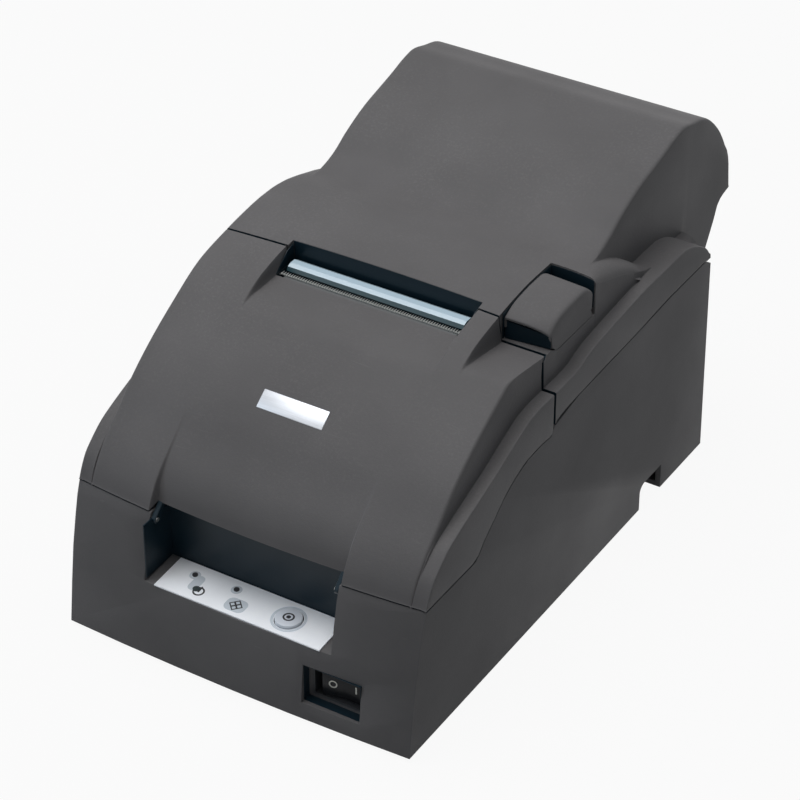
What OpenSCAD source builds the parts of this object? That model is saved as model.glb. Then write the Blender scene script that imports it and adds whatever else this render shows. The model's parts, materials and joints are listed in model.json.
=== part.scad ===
// A desktop dot matrix receipt printer with a paper take-up box.
// The front cover tips forward, the roll cover with the take-up box swings back.
// Inside every module y runs back from the front corners of the case and z runs
// up from the bottom edge of the case. in_frame() puts that into the part's frame.

/* [Case] */
// Width over both sides
body_w = 160; // [154:1:170]
// Depth of the lower case at its bottom edge
case_d = 242.5; // [238:0.5:255]
// Height of the case front, up to the front cover
front_h = 62.8; // [60:0.1:66]
// Height of the side wall at its rear corner
case_h = 94; // [92:0.5:98]
// Wall thickness of the case and the covers
wall = 2.5; // [2:0.1:3]
// How far the middle of the front stands ahead of its corners, at the bottom edge
low_bow = 2; // [1:0.1:3]
// The same at the front cover's lower edge
seam_bow = 4.5; // [3:0.1:5]
// Clear gap between the case and the covers
seam_gap = 0.5; // [0.3:0.1:0.8]

/* [Covers] */
// Height of the hump over the print mechanism
hump_h = 132.6; // [131:0.1:136]
// Rise of the hump's middle above its edges
crown = 2.5; // [1.5:0.1:3]
// Depth from the front corners to the seam between the two covers
seam_y = 109; // [107:0.5:112]
// Width of the shoulder beside the hump
shoulder_w = 6.2; // [5:0.1:7]
// Width of the take-up box
box_w = 132; // [126:1:136]
// Height of the take-up box
box_h = 155.5; // [152:0.5:160]
// How far the take-up box stands out behind the case
box_reach = 41.5; // [40:0.5:46]
// Width of the paper exit
exit_w = 88; // [82:1:90]
// Left edge of the lever, from the middle of the printer
lever_x = 53; // [51:0.5:55]
// Length of the lever
lever_l = 35; // [32:0.5:37]
// Hinge pin radius of both covers
hinge_r = 1; // [0.8:0.1:1.2]

/* [Front face] */
// Width of the control panel recess
recess_w = 87; // [80:1:90]
// Height of the recess floor
recess_z = 33.4; // [30:0.1:36]
// Depth of the recess
recess_d = 21.5; // [19:0.5:23]
// Radius of the feed button
feed_r = 5.5; // [4.5:0.1:6]
// Travel of the feed button
feed_travel = 0.8; // [0.5:0.1:1]
// Width of the power switch opening
switch_w = 26; // [23:0.5:28]
// Height of the power switch opening
switch_h = 17.5; // [16:0.5:20]
// Swing of the power rocker
rocker_swing = 14; // [8:1:16]
// Width of the badge plate
badge_w = 30; // [24:1:34]
// Height of the badge plate
badge_h = 8; // [6:0.5:9]

/* [Mechanism] */
// Distance between the outer faces of the side plates
frame_w = 128; // [124:1:132]
// Thickness of the side plates
plate_t = 1.6; // [1.2:0.1:2]
// Radius of the carriage shaft
shaft_r = 3; // [2.5:0.1:4]
// Width of the carriage
carriage_w = 24; // [20:1:28]
// Travel of the carriage to either side
carriage_travel = 34; // [28:1:36]
// Radius of the belt pulleys
pulley_r = 6; // [5:0.1:7]
// Radius of the feed roller
roller_r = 5; // [4:0.1:6]
// Width of the paper
paper_w = 76; // [70:1:78]
// Tooth size of the gears, as a module
gear_m = 1; // [0.9:0.05:1.1]

/* [Paper] */
// Radius of the largest paper roll
roll_r = 41.5; // [38:0.5:42]
// Radius of the take-up spool's flanges
flange_r = 30; // [24:1:32]
// Radius of the take-up spool's core
core_r = 7; // [6:0.5:10]

/* [Feet and openings] */
// Height of the rubber feet
foot_h = 2; // [1:0.1:3]
// Radius of the rubber feet
foot_r = 6; // [5:0.5:8]
// Length of the cable notch in a side wall
notch_l = 19; // [15:0.5:22]
// Height of the cable notch
notch_h = 12; // [9:0.5:13]

/* [Hidden] */

$fn = 48;
eps = 0.01;
fit = 0.05;
air = 0.5;
half_w = body_w/2;
body_d = low_bow + case_d + box_reach;
corner_y = low_bow - body_d/2;
hump_x = half_w - shoulder_w;
box_x = box_w/2;
recess_x = recess_w/2;
exit_x = exit_w/2;
rear_y = case_d - 2;
slab = 27;

case_grey = [0.25, 0.25, 0.26];
dark_grey = [0.14, 0.15, 0.17];
steel = [0.72, 0.74, 0.76];
white = [0.9, 0.91, 0.92];
board_green = [0.1, 0.35, 0.2];
black = [0.06, 0.06, 0.07];
brass = [0.72, 0.6, 0.3];
gear_white = [0.88, 0.87, 0.82];

// ---------- curves and the bowed shell ----------

// A smooth curve through the points p, with n steps between two of them
function blend(a, b, c, d, t) = 0.5*((2*b) + (c - a)*t + (2*a - 5*b + 4*c - d)*t*t
  + (3*b - a - 3*c + d)*t*t*t);
function curve(p, n = 2) = concat([for (i = [0:len(p) - 2]) for (k = [0:n - 1])
  blend(p[max(i - 1, 0)], p[i], p[i + 1], p[min(i + 2, len(p) - 1)], k/n)], [p[len(p) - 1]]);
// A curve moved inwards by t, for the inner face of a wall
function inset(p, t) = [for (i = [0:len(p) - 1])
  let (d = p[min(i + 1, len(p) - 1)] - p[max(i - 1, 0)]) p[i] + t/norm(d)*[d[1], -d[0]]];
function clamp(v) = min(max(v, 0), 1);
function tail(p) = [for (i = [1:len(p) - 1]) p[i]];
function flip(p) = [for (i = [len(p) - 1:-1:0]) p[i]];
function raise(p, dy, dz) = [for (q = p) q + [dy, dz]];
// The bow of the front and the crown of the top, full at x = 0 and nothing at the sides
function bow_at(q) = (low_bow + (seam_bow - low_bow)*clamp(q[1]/front_h))
  * (1 - clamp((q[0] - 30)/(seam_y - 30)));
function crown_at(q) = crown*clamp((q[0] - 30)/(seam_y - 35));
function section_at(p, x, rise) = let (f = 1 - pow(x/half_w, 2))
  [for (q = p) [x, q[0] - f*bow_at(q), q[1] + f*rise*crown_at(q)]];
// A side outline p carried across from x0 to x1 along the bow, with the crown where rise is 1.
// The loft is made a little too long and trimmed, so that both ends are single clean faces.
module bowed(p, x0, x1, rise = 1) {
  n = len(p);
  slabs = ceil((x1 - x0)/slab);
  step = (x1 - x0 + 2)/slabs;
  points = [for (s = [0:slabs]) each section_at(p, x0 - 1 + step*s, rise)];
  sides = [for (s = [0:slabs - 1]) for (i = [0:n - 1])
    [s*n + i, s*n + (i + 1)%n, (s + 1)*n + (i + 1)%n, (s + 1)*n + i]];
  intersection() {
    polyhedron(points, concat([[for (i = [n - 1:-1:0]) i], [for (i = [0:n - 1]) slabs*n + i]], sides));
    block([x0, -99, -99], [x1, 399, 299]);
  }
}
// A side outline carried straight across
module across(p, x0, x1) {
  translate([x0, 0, 0]) rotate([90, 0, 90]) linear_extrude(x1 - x0) polygon(p);
}
module block(lo, hi) { translate(lo) cube(hi - lo); }
module bar_x(x0, x1, y, z, r) { translate([x0, y, z]) rotate([0, 90, 0]) cylinder(h = x1 - x0, r = r); }
module bar_y(y0, y1, x, z, r) { translate([x, y1, z]) rotate([90, 0, 0]) cylinder(h = y1 - y0, r = r); }
module both_sides() {
  children();
  mirror([1, 0, 0]) children();
}
module in_frame() { translate([0, corner_y, foot_h]) children(); }

// ---------- outlines seen from the right side ----------

case_front = curve([[0, 0], [2.4, 18], [5, 35], [7.8, 48], [10, front_h - 5.8], [12, front_h]], 1);
// Top edge of the case: up over the front cover's corner, then back under the roll cover
seam_front = curve([[47.7, front_h], [50.9, front_h + 2.3], [54.6, front_h + 6.2],
  [61.6, front_h + 11.2], [68.5, case_h - 14.6], [77.4, case_h - 10], [87.2, case_h - 7.2],
  [97.3, case_h - 6.7], [104.8, case_h - 7.3], [107.4, case_h - 3.8]], 1);
seam_rear = [[seam_y + 18, case_h - 0.4], [rear_y - 96, case_h + 0.2], [rear_y - 66, case_h + 1.2],
  [rear_y - 35, case_h + 2.8], [rear_y - 5.5, case_h + 2.9], [rear_y - 3.9, case_h + 2.1]];
hump_front = curve([[12, front_h + seam_gap], [14.2, front_h + 5.6], [17.6, front_h + 11.2],
  [22.1, front_h + 16.6], [27.5, front_h + 21.6], [33.6, front_h + 27.2], [40.7, hump_h - 35.6],
  [52.7, hump_h - 26.6], [69.4, hump_h - 16.6], [91.5, hump_h - 6.1],
  [seam_y - seam_gap, hump_h - 2.8]], 1);
shoulder_front = curve([[12.1, front_h + seam_gap], [13.9, front_h + 5.8],
  [17.6, front_h + 11.2], [22.4, front_h + 15.4], [28, front_h + 19.2], [38, front_h + 23.5],
  [49.3, case_h - 3.7], [62, case_h + 0.7], [80, case_h + 8], [89, case_h + 11], [98, case_h + 11.9],
  [seam_y - 2, case_h + 11.6]], 1);
hump_rear = curve([[seam_y + seam_gap, hump_h - 2.8], [seam_y + 9.5, hump_h - 1.3],
  [seam_y + 25, hump_h], [seam_y + 41, hump_h - 0.2], [rear_y - 77, hump_h - 2.1],
  [rear_y - 62.5, hump_h - 6.7], [rear_y - 51.5, hump_h - 14.1], [rear_y - 43, hump_h - 22.6]]);
shoulder_rear = curve([[seam_y - 1, case_h + 11.4], [seam_y + 16, case_h + 12],
  [seam_y + 41, case_h + 17], [rear_y - 60, case_h + 19.2], [rear_y - 25, case_h + 19.3],
  [rear_y - 18.5, case_h + 17.5], [rear_y - 13.5, case_h + 15.3], [rear_y - 8.5, case_h + 12.5],
  [rear_y - 4.5, case_h + 9.3], [rear_y - 1, case_h + 4.9]], 1);
box_rise = box_h - hump_h;
box_fall = box_h - case_h - 11;
box_top = curve([[rear_y - 74, hump_h - 1.6], [rear_y - 62.5, hump_h + 0.148*box_rise],
  [rear_y - 40, hump_h + 0.616*box_rise], [rear_y - 19, hump_h + 0.838*box_rise],
  [rear_y - 9, box_h - 0.02*box_fall], [rear_y - 2.8, box_h], [rear_y + 8.5, box_h - 0.053*box_fall],
  [rear_y + 15.2, box_h - 0.085*box_fall], [rear_y + 20.5, box_h - 0.139*box_fall],
  [rear_y + 30.2, box_h - 0.311*box_fall], [rear_y + 38.2, box_h - 0.543*box_fall],
  [rear_y + 43, box_h - 0.766*box_fall], [rear_y + 43.5, box_h - box_fall]]);
box_under = [[rear_y + 39.3, case_h + 9.9], [rear_y + 34.1, case_h + 8],
  [rear_y + 29.8, case_h], [rear_y + 24.4, case_h - 8.7], [rear_y + 10.5, front_h - 1.8]];

// The lower edge of the front cover, above the case
cover_edge = flip(raise(seam_front, 0, seam_gap));

// ---------- places that several pieces share ----------

front_axis = [10.2, front_h - 3.2];
rear_axis = [rear_y + 6.5, front_h - 1.8];
lever_y = seam_y + 3.5;
lever_axis = [lever_y + lever_l - 4, hump_h - 10];
print_z = hump_h - 32;
path_y = seam_y - 11;
carriage_y = path_y - 18;
carriage_z = print_z - 16;
belt_y = carriage_y - 18;
belt_z = carriage_z - 26;
pulley_x = carriage_travel + carriage_w/2 + 2;
roller_y = path_y + roller_r + 0.2;
roller_z = front_h - 0.8;
pinch_r = 4;
roll_y = seam_y + roll_r + 10.5;
roll_z = roll_r + 30.5;
spool_y = rear_y - 1.5;
spool_z = case_h + 18;
plate_x = frame_w/2;
pocket_y = case_d - 44;
pocket_x = 62;
pocket_z = 36;
board_z = 7;

// ---------- case and covers ----------

recess_rise = 1.4;
module recess_space(grow = 0) {
  across([[-9, recess_z - 9*recess_rise/recess_d - grow], [recess_d + grow, recess_z + recess_rise - grow],
    [recess_d + grow, front_h + 9], [-9, front_h + 9]], -recess_x - grow, recess_x + grow);
}

front_block = 30;
module case_shell() {
  difference() {
    union() {
      bowed(concat(case_front, [[front_block + 6, front_h], [front_block + 6, 0]]), -half_w, half_w, 0);
      across(concat([[front_block, 0], [front_block, front_h]], seam_front, seam_rear,
        [[rear_y, case_h], [case_d, 0]]), -half_w, half_w);
    }
    bowed(concat([[wall + 0.3, wall]], tail(inset(case_front, wall)), [[14.5, case_h],
      [front_block + 7, case_h], [front_block + 7, wall]]), -half_w + wall, half_w - wall, 0);
    across([[front_block, wall], [front_block, case_h + 9], [rear_y - wall, case_h + 9],
      [case_d - wall, wall]], -half_w + wall, half_w - wall);
  }
}
// The space a little inside the case's outer face, to which inner walls reach
module inside_face() {
  bowed(concat(inset(case_front, 0.6), [[40, front_h], [40, -1], [0, -1]]), -half_w + 1, half_w - 1, 0);
}

switch_z0 = 7.2;
switch_face = 5;
module switch_space(grow = 0) {
  block([44.5 - switch_w/2 - grow, -9, switch_z0 - grow],
    [44.5 + switch_w/2 + grow, switch_face + grow, switch_z0 + switch_h + grow]);
}

module notch() {
  y0 = pocket_y - 13;
  round_r = 4;
  both_sides() {
    block([pocket_x - 7, y0 + round_r, -1], [half_w + 1, y0 + notch_l, notch_h]);
    block([pocket_x - 7, y0, -1], [half_w + 1, y0 + round_r + 1, notch_h - round_r]);
    bar_x(pocket_x - 7, half_w + 1, y0 + round_r, notch_h - round_r, round_r);
  }
}

foot_places = [for (x = [-1, 1]) for (y = [22, pocket_y - 24]) [x*(half_w - 14), y]];
screw_places = [for (x = [-1, 1]) for (y = [48, pocket_y - 44]) [x*(half_w - 9), y]];

module lower_case() {
  color(case_grey) in_frame() difference() {
    union() {
      case_shell();
      // walls and floor of the control panel recess
      intersection() {
        difference() {
          recess_space(wall);
          recess_space();
        }
        inside_face();
      }
      // walls of the power switch well
      intersection() {
        switch_space(wall);
        inside_face();
      }
      // posts of the control board
      for (x = [4 - panel_x, board_right - 4]) for (y = [7, 17])
        translate([x, y, board_top]) cylinder(h = 5, r = 2);
      // the pocket for the connectors at the rear
      block([-pocket_x - wall, pocket_y - wall, 0], [pocket_x + wall, case_d - wall/2, pocket_z + wall]);
      // screw posts
      for (p = screw_places) translate([p[0], p[1], wall - eps]) cylinder(h = front_h - 12, r = 4);
      // ears of the roll cover's hinge
      both_sides() across([[rear_y - wall, front_h - 11], [rear_y + 6.5, front_h - 4.8],
        [rear_y + 8.6, front_h - 3.3], [rear_y + 8.6, front_h - 0.6], [rear_y + 6.5, front_h + 0.4],
        [rear_y - wall, front_h + 2.2]], box_x - wall - 6, box_x - wall - 0.6);
    }
    recess_space();
    switch_space();
    switch_block(0);
    notch();
    block([-pocket_x, pocket_y, -1], [pocket_x, case_d + 3, pocket_z]);
    block([-pocket_x + 4, pocket_y - wall - 1, 8], [pocket_x - 4, pocket_y + 1, pocket_z - 4]);
    // the rear wall is low where the take-up spool turns
    block([-box_x + 12, rear_y - 12, case_h - 16], [box_x - 12, rear_y + 9, case_h + 9]);
    for (p = foot_places) translate([p[0], p[1], -1]) cylinder(h = 2, r = foot_r);
    for (p = screw_places) translate([p[0], p[1], -1]) cylinder(h = 18, r = 1.5);
    for (p = screw_places) translate([p[0], p[1], -1]) cylinder(h = 2.5, r = 3.2);
    bar_x(-recess_x - wall - 3, recess_x + wall + 3, front_axis[0], front_axis[1], hinge_r);
    bar_x(-box_x, box_x, rear_axis[0], rear_axis[1], hinge_r);
    translate([feed_x, feed_y, recess_z - 5]) cylinder(h = 9, r = feed_r + 0.4);
    for (p = window_places) translate([p[0], p[1], recess_z - 5]) cylinder(h = 9, r = window_r);
  }
}

// The paper exit: a scoop that falls to the tear edge, and the slot behind it
tear_y = path_y;
tear_z = hump_h - 9.3;
module exit_scoop() {
  across([[tear_y - 17, hump_h - 10], [tear_y + 2, tear_z], [tear_y + 2, hump_h + 9],
    [tear_y - 17, hump_h + 9]], -exit_x, exit_x);
}
module exit_slot() {
  block([-exit_x, tear_y, front_h + 20], [exit_x, seam_y + 4, hump_h + 9]);
}
// The finger scoop in front of the lever
module lever_scoop() {
  across([[seam_y - 25, hump_h - 12], [seam_y + 3, hump_h - 15.2], [seam_y + 3, hump_h + 9],
    [seam_y - 25, hump_h + 9]], lever_x + 1, half_w + 1);
}
// Floors and cheeks under both scoops, inside the hump
module scoop_walls() {
  cheek = [[tear_y - 20, hump_h - 17], [tear_y - 18, hump_h - 13.4], [tear_y - 8, hump_h - 8.4],
    [seam_y - 1, hump_h - 4.4], [seam_y - 1, hump_h - 17]];
  across([[tear_y - 21, hump_h - 14], [tear_y, tear_z - wall], [tear_y, tear_z],
    [tear_y - 17, hump_h - 10], [tear_y - 20, hump_h - 12.5]], -exit_x - wall, exit_x + wall);
  both_sides() across(cheek, exit_x, exit_x + wall);
  across([[seam_y - 29, hump_h - 17], [seam_y - 1, hump_h - 15.4 - wall], [seam_y - 1, hump_h - 14.9],
    [seam_y - 25, hump_h - 12], [seam_y - 28, hump_h - 14]], lever_x - 1.5, hump_x - 1);
  across(cheek, lever_x + 1 - wall, lever_x + 1);
}
// The middle of the cover stands back above the control panel
brow_out = [14.5, front_h + 2.2];
brow_up = [32, hump_h - 40];
module brow() {
  across([[-9, front_h - 9], [brow_out[0], front_h - 9], brow_out, brow_up, [10, hump_h - 28],
    [-9, hump_h - 28]], -recess_x, recess_x);
}
module brow_walls() {
  across([brow_out + [-1, 0], brow_out + [wall, 0], brow_up + [wall + 1, -1], brow_up + [1, 3]],
    -recess_x - wall, recess_x + wall);
  both_sides() across([[12.2, front_h + seam_gap + 0.1], brow_out + [wall, -1.5], brow_up + [2, 0],
    brow_up + [-3, -3.6]], recess_x, recess_x + wall);
}

module hinge_lug() {
  x0 = recess_x - 2.5;
  x1 = recess_x - 0.3;
  bar_x(x0, x1, front_axis[0], front_axis[1], hinge_r + 1);
  block([x0, front_axis[0] - 1, front_axis[1]], [x1, front_axis[0] + 2, front_h + 5]);
  block([x0, front_axis[0] - 1, front_h + 1], [recess_x + 1, front_axis[0] + 4, front_h + 5]);
}

module front_cover() {
  color(case_grey) in_frame() difference() {
    union() {
      difference() {
        union() {
          // hump
          difference() {
            bowed(concat(hump_front, [[seam_y - seam_gap, case_h - 3.8]], cover_edge), -hump_x, hump_x);
            bowed(concat(inset(hump_front, wall), [[seam_y + 2, hump_h - 5.4], [seam_y + 2, 40],
              [15.8, 40]]), -hump_x + wall, hump_x - wall);
          }
          // shoulders
          both_sides() difference() {
            across(concat(shoulder_front, cover_edge), hump_x - 0.5, half_w);
            across(concat(inset(shoulder_front, wall), [[seam_y + 2, case_h + 9], [seam_y + 2, 40],
              [15.8, 40]]), hump_x - 1, half_w - wall);
          }
          scoop_walls();
          brow_walls();
        }
        exit_scoop();
        exit_slot();
        lever_scoop();
        brow();
        badge(0.1, 9);
        // room for the thick seam that climbs the side ahead of the roll cover
        block([-half_w - 1, seam_y - 1.2, front_h], [half_w + 1, seam_y + 9, hump_h - 16]);
      }
      both_sides() hinge_lug();
    }
    both_sides() bar_x(recess_x - 4, recess_x - 0.2, front_axis[0], front_axis[1], hinge_r + fit);
  }
}

// The lever's pocket in the roll cover, open to the front and to the right
module lever_pocket() {
  block([lever_x - 0.6, seam_y - 1, hump_h - 15.5], [half_w + 1, lever_y + lever_l + 3.2, hump_h + 9]);
}

// The lug that carries the right end of the lever's pin
module lever_lug(r) {
  bar_x(lug_x, lug_x + 2, lever_axis[0], lever_axis[1], r);
  block([lug_x, lever_axis[0] - r, hump_h - 16], [lug_x + 2, lever_axis[0] + r, lever_axis[1]]);
}

module roll_cover() {
  low = raise(seam_rear, 0, seam_gap);
  front_edge = [[107.9, case_h - 3.3]];
  // the covers' back edges run down behind the case to the hinge
  box_tail = [[rear_y + 1.4, front_h - 1.8], [rear_y + 1.4, case_h + 1.5],
    [rear_y - 3.8, case_h + 2.1 + seam_gap]];
  color(case_grey) in_frame() difference() {
    union() {
      difference() {
        union() {
          bowed(concat(hump_rear, [[rear_y - 40, case_h + 3.3]], [[rear_y - 66, case_h + 1.7]],
            [[seam_y + seam_gap, case_h]]), -hump_x, hump_x);
          across(concat(shoulder_rear, flip(low), front_edge), -half_w, half_w);
          across(concat(box_top, box_under, box_tail, [[rear_y - 35, case_h + 3.3],
            [rear_y - 74, case_h + 2]]), -box_x, box_x);
        }
        // inside of the hump, the shoulders and the box
        difference() {
          bowed(concat([[seam_y - 3, hump_h - 5.3]], inset(hump_rear, wall),
            [[rear_y - 44, case_h - 9], [seam_y - 3, case_h - 9]]), -hump_x + wall, hump_x - wall);
          // front lip at the paper exit
          block([-exit_x - wall, seam_y - 9, hump_h - 12], [exit_x + wall, seam_y + 6, hump_h + 9]);
        }
        across(concat([[seam_y - 3, case_h + 9]], inset(shoulder_rear, wall),
          [[rear_y - wall - 1.5, case_h - 9], [seam_y - 3, case_h - 9]]), -half_w + wall, half_w - wall);
        across(concat(inset(box_top, wall), [[rear_y + 39, case_h + 12.4],
          [rear_y + 33, case_h + 11], [rear_y + 27.5, case_h + 1], [rear_y + 22, case_h - 7.7],
          [rear_y + 9, front_h + 0.7], [rear_y - 1, front_h + 0.7], [rear_y - 40, case_h - 9],
          [rear_y - 74, case_h - 9]]), -box_x + wall, box_x - wall);
      }
      // floor under the lever's pocket
      difference() {
        block([lever_x - 0.6 - wall, seam_y + seam_gap, hump_h - 15.5 - wall],
          [hump_x, lever_y + lever_l + 3.2 + wall, hump_h - 5]);
        lever_pocket();
      }
      // lugs of the hinge
      both_sides() bar_x(box_x - wall, box_x, rear_axis[0], rear_axis[1], hinge_r + 2.5);
      lever_lug(2.6);
    }
    difference() {
      lever_pocket();
      lever_lug(2.6);
    }
    exit_slot();
    both_sides() bar_x(box_x - wall - 6.6, box_x - wall, rear_axis[0], rear_axis[1], 7.3);
    both_sides() bar_x(box_x - wall - 1, box_x + 1, rear_axis[0], rear_axis[1], hinge_r + fit);
    bar_x(lever_x - 0.6 - wall, hump_x + 1, lever_axis[0], lever_axis[1], hinge_r);
    // slot for the lever's latch arm
    block([latch_x - 1, latch_y - 8, hump_h - 22], [latch_x + 4, latch_y + 3, hump_h - 10]);
  }
}

// The latch arm hangs below the lever's pivot and moves forward when the lever is lifted
latch_x = lever_x + 6;
latch_y = lever_axis[0] - 1;
latch_z = hump_h - 28;
latch_pin_at = [latch_y + 4.5, latch_z + 3.4];
lug_x = hump_x - 4;

module release_lever() {
  x0 = lever_x;
  x1 = hump_x;
  y1 = lever_y + lever_l;
  color(case_grey) in_frame() difference() {
    union() {
      across([[lever_y - 2, hump_h - 6.5], [lever_y - 2.4, hump_h - 4.6], [lever_y, hump_h - 3.6],
        [lever_y + 12, hump_h - 1.9], [y1 - 3, hump_h - 1.4], [y1, hump_h - 3],
        [y1 - 0.5, hump_h - 12.8], [y1 - 8, hump_h - 13.8], [lever_y + 14, hump_h - 9.5]], x0, x1);
      // latch arm with its nose
      across([[latch_y - 4, hump_h - 6], [latch_y, hump_h - 6], [latch_y - 0.5, latch_z + 3],
        [latch_y + 1.2, latch_z + 1], [latch_y + 1, latch_z], [latch_y - 3.5, latch_z]],
        latch_x, latch_x + 3);
    }
    bar_x(x0 - 1, x1 + 1, lever_axis[0], lever_axis[1], hinge_r + fit);
    // room for the lug that carries the pin
    bar_x(lug_x - 0.3, lug_x + 2.3, lever_axis[0], lever_axis[1], 3.1);
    block([lug_x - 0.3, lever_axis[0] - 5.5, hump_h - 16], [lug_x + 2.3, y1 + 1, lever_axis[1]]);
  }
}

module lever_pin() {
  color(steel) in_frame()
    bar_x(lever_x - 0.6 - wall, hump_x - 0.4, lever_axis[0], lever_axis[1], hinge_r);
}

module latch_pin() {
  color(steel) in_frame()
    bar_x(latch_x - 1, plate_x + 0.6, latch_pin_at[0], latch_pin_at[1], 1.2);
}

// The badge plate's place on the slope of the front cover
badge_y = 46.7;
badge_z = hump_h - 27.9;
badge_tilt = 36.6;
badge_depth = 0.8;
module badge(grow, t) {
  translate([-1, badge_y, badge_z]) rotate([badge_tilt, 0, 0])
    translate([-badge_w/2 - grow, -badge_h/2 - grow, -badge_depth])
      cube([badge_w + 2*grow, badge_h + 2*grow, t]);
}
module badge_plate() { color(white) in_frame() badge(0, badge_depth + 0.4); }

module tear_bar() {
  pitch = 2;
  teeth = floor((exit_w - 8)/pitch);
  color(dark_grey) in_frame() translate([0, 0, tear_z - 1.2]) linear_extrude(1) union() {
    translate([-teeth*pitch/2, tear_y]) square([teeth*pitch, 2.4]);
    for (i = [0:teeth - 1]) translate([(i - teeth/2)*pitch, tear_y + 2.4])
      polygon([[0.1, -eps], [pitch - 0.1, -eps], [pitch/2, 1.4]]);
  }
}

// ---------- control panel and switch ----------

panel_x = recess_x - 5;
board_right = 28.5;
board_top = recess_z - 5.6;
panel_t = 0.6;
feed_x = 18.7;
feed_y = 11;
window_r = 1.5;
window_places = [[-27.5, 14.2], [-22.5, 8], [-8.5, 15.2]];
panel_tilt = atan(recess_rise/recess_d);

module on_panel() { translate([0, 0, recess_z]) rotate([panel_tilt, 0, 0]) children(); }

module control_panel() {
  color(white) in_frame() difference() {
    on_panel() linear_extrude(panel_t) polygon([[-panel_x, 2], [panel_x, 2],
      [panel_x, recess_d - 1], [-panel_x, recess_d - 1]]);
    translate([feed_x, feed_y, recess_z - 5]) cylinder(h = 9, r = feed_r + 0.4);
    for (p = window_places) translate([p[0], p[1], recess_z - 5]) cylinder(h = 9, r = window_r);
  }
}

module indicator_windows() {
  color([0.35, 0.5, 0.4]) in_frame() for (p = window_places)
    translate([p[0], p[1], recess_z - 4]) cylinder(h = 5.4, r = window_r);
}

module feed_button() {
  color([0.8, 0.82, 0.85]) in_frame() translate([feed_x, feed_y, recess_z - 2.6]) {
    cylinder(h = 5, r = feed_r);
    translate([0, 0, -2]) cylinder(h = 2 + eps, r = 2);
  }
}

module control_board() {
  color(board_green) in_frame()
    block([-panel_x, 4, board_top - 1.4], [board_right, recess_d - 1, board_top]);
}

switch_x = 46.5;
switch_mid = 16;
rocker_y = switch_face + 4.2;
pivot_r = 1.2;
module switch_block(t) {
  block([switch_x - 13.2 + t, switch_face - t, switch_mid - 7.5 + t],
    [switch_x + 10.6 - t, switch_face + 17 - 5*t, switch_mid + 7.5 - t]);
}
module switch_body() {
  color(black) in_frame() difference() {
    switch_block(0);
    switch_block(1);
    translate([switch_x, rocker_y, switch_mid - 7]) cylinder(h = 14, r = pivot_r + fit);
  }
}
module power_rocker() {
  color(black) in_frame() translate([switch_x, rocker_y, switch_mid]) rotate([0, 0, rocker_swing/2]) {
    translate([0, 0, -6]) linear_extrude(12)
      polygon([[-9.2, -3.2], [0, -2.1], [9.2, -3.2], [8.2, 1.5], [0, 3.4], [-8.2, 1.5]]);
    translate([0, 0, -6.9]) cylinder(h = 13.8, r = pivot_r);
  }
}

// ---------- feet, screws and pins ----------

module rubber_feet() {
  color(black) in_frame() for (p = foot_places) translate([p[0], p[1], -foot_h])
    cylinder(h = foot_h + 1, r = foot_r);
}

module screw(r, h, head_r, head_h) {
  difference() {
    union() {
      cylinder(h = head_h, r = head_r);
      cylinder(h = h, r = r);
    }
    for (a = [0, 90]) rotate([0, 0, a]) translate([-head_r*0.7, -0.35, -eps])
      cube([head_r*1.4, 0.7, head_h*0.6]);
  }
}

module case_screws() {
  color(steel) in_frame() for (p = screw_places) translate([p[0], p[1], 0.2]) screw(1.5, 14, 3, 1.3);
}

module front_hinge_pins() {
  color(steel) in_frame() both_sides()
    bar_x(recess_x - 2.5, recess_x + wall + 3, front_axis[0], front_axis[1], hinge_r);
}

module rear_hinge_pins() {
  color(steel) in_frame() both_sides()
    bar_x(box_x - wall - 6, box_x, rear_axis[0], rear_axis[1], hinge_r);
}

// ---------- print mechanism ----------

base_z = 16;
frame_y0 = 38;
frame_y1 = seam_y + 14;
frame_screw_places = [for (x = [-1, 1]) for (y = [frame_y0 + 5, frame_y1 - 5]) [x*(plate_x - 12), y]];

module mechanism_base() {
  color(steel) in_frame() difference() {
    union() {
      block([-plate_x + plate_t, frame_y0, base_z], [plate_x - plate_t, frame_y1, base_z + 1.6]);
      for (p = frame_screw_places) translate([p[0], p[1], wall]) cylinder(h = base_z - wall + eps, r = 3.5);
    }
    for (p = frame_screw_places) translate([p[0], p[1], wall - 1]) cylinder(h = base_z + 3, r = 1.5);
    block([-22, frame_y0 + 20, base_z - 1], [22, frame_y1 - 20, base_z + 4]);
  }
}

module frame_screws() {
  color(steel) in_frame() for (p = frame_screw_places) translate([p[0], p[1], base_z + 3.2])
    mirror([0, 0, 1]) screw(1.5, 12, 2.8, 1.6);
}

side_outline = [[frame_y0, wall], [frame_y1, wall], [frame_y1, print_z - 12],
  [seam_y + 4, hump_h - 18], [seam_y - 14, hump_h - 18], [carriage_y - 12, print_z - 2],
  [carriage_y - 26, print_z - 20], [frame_y0, print_z - 36]];
module side_plate() {
  difference() {
    across(side_outline, plate_x - plate_t, plate_x);
    bar_x(0, half_w, carriage_y, carriage_z, shaft_r);
    bar_x(0, half_w, carriage_y - 18, carriage_z - 4, 2);
    bar_x(0, half_w, roller_y, roller_z, 2 + fit);
    bar_x(0, half_w, roller_y - roller_r - pinch_r - 0.4, roller_z, 1.5 + fit);
    bar_x(0, half_w, motor_y, motor_z, 4);
    across([[frame_y0 + 8, 10], [frame_y1 - 20, 10], [frame_y1 - 20, 22], [frame_y0 + 8, 22]], 0, half_w);
  }
}
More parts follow.
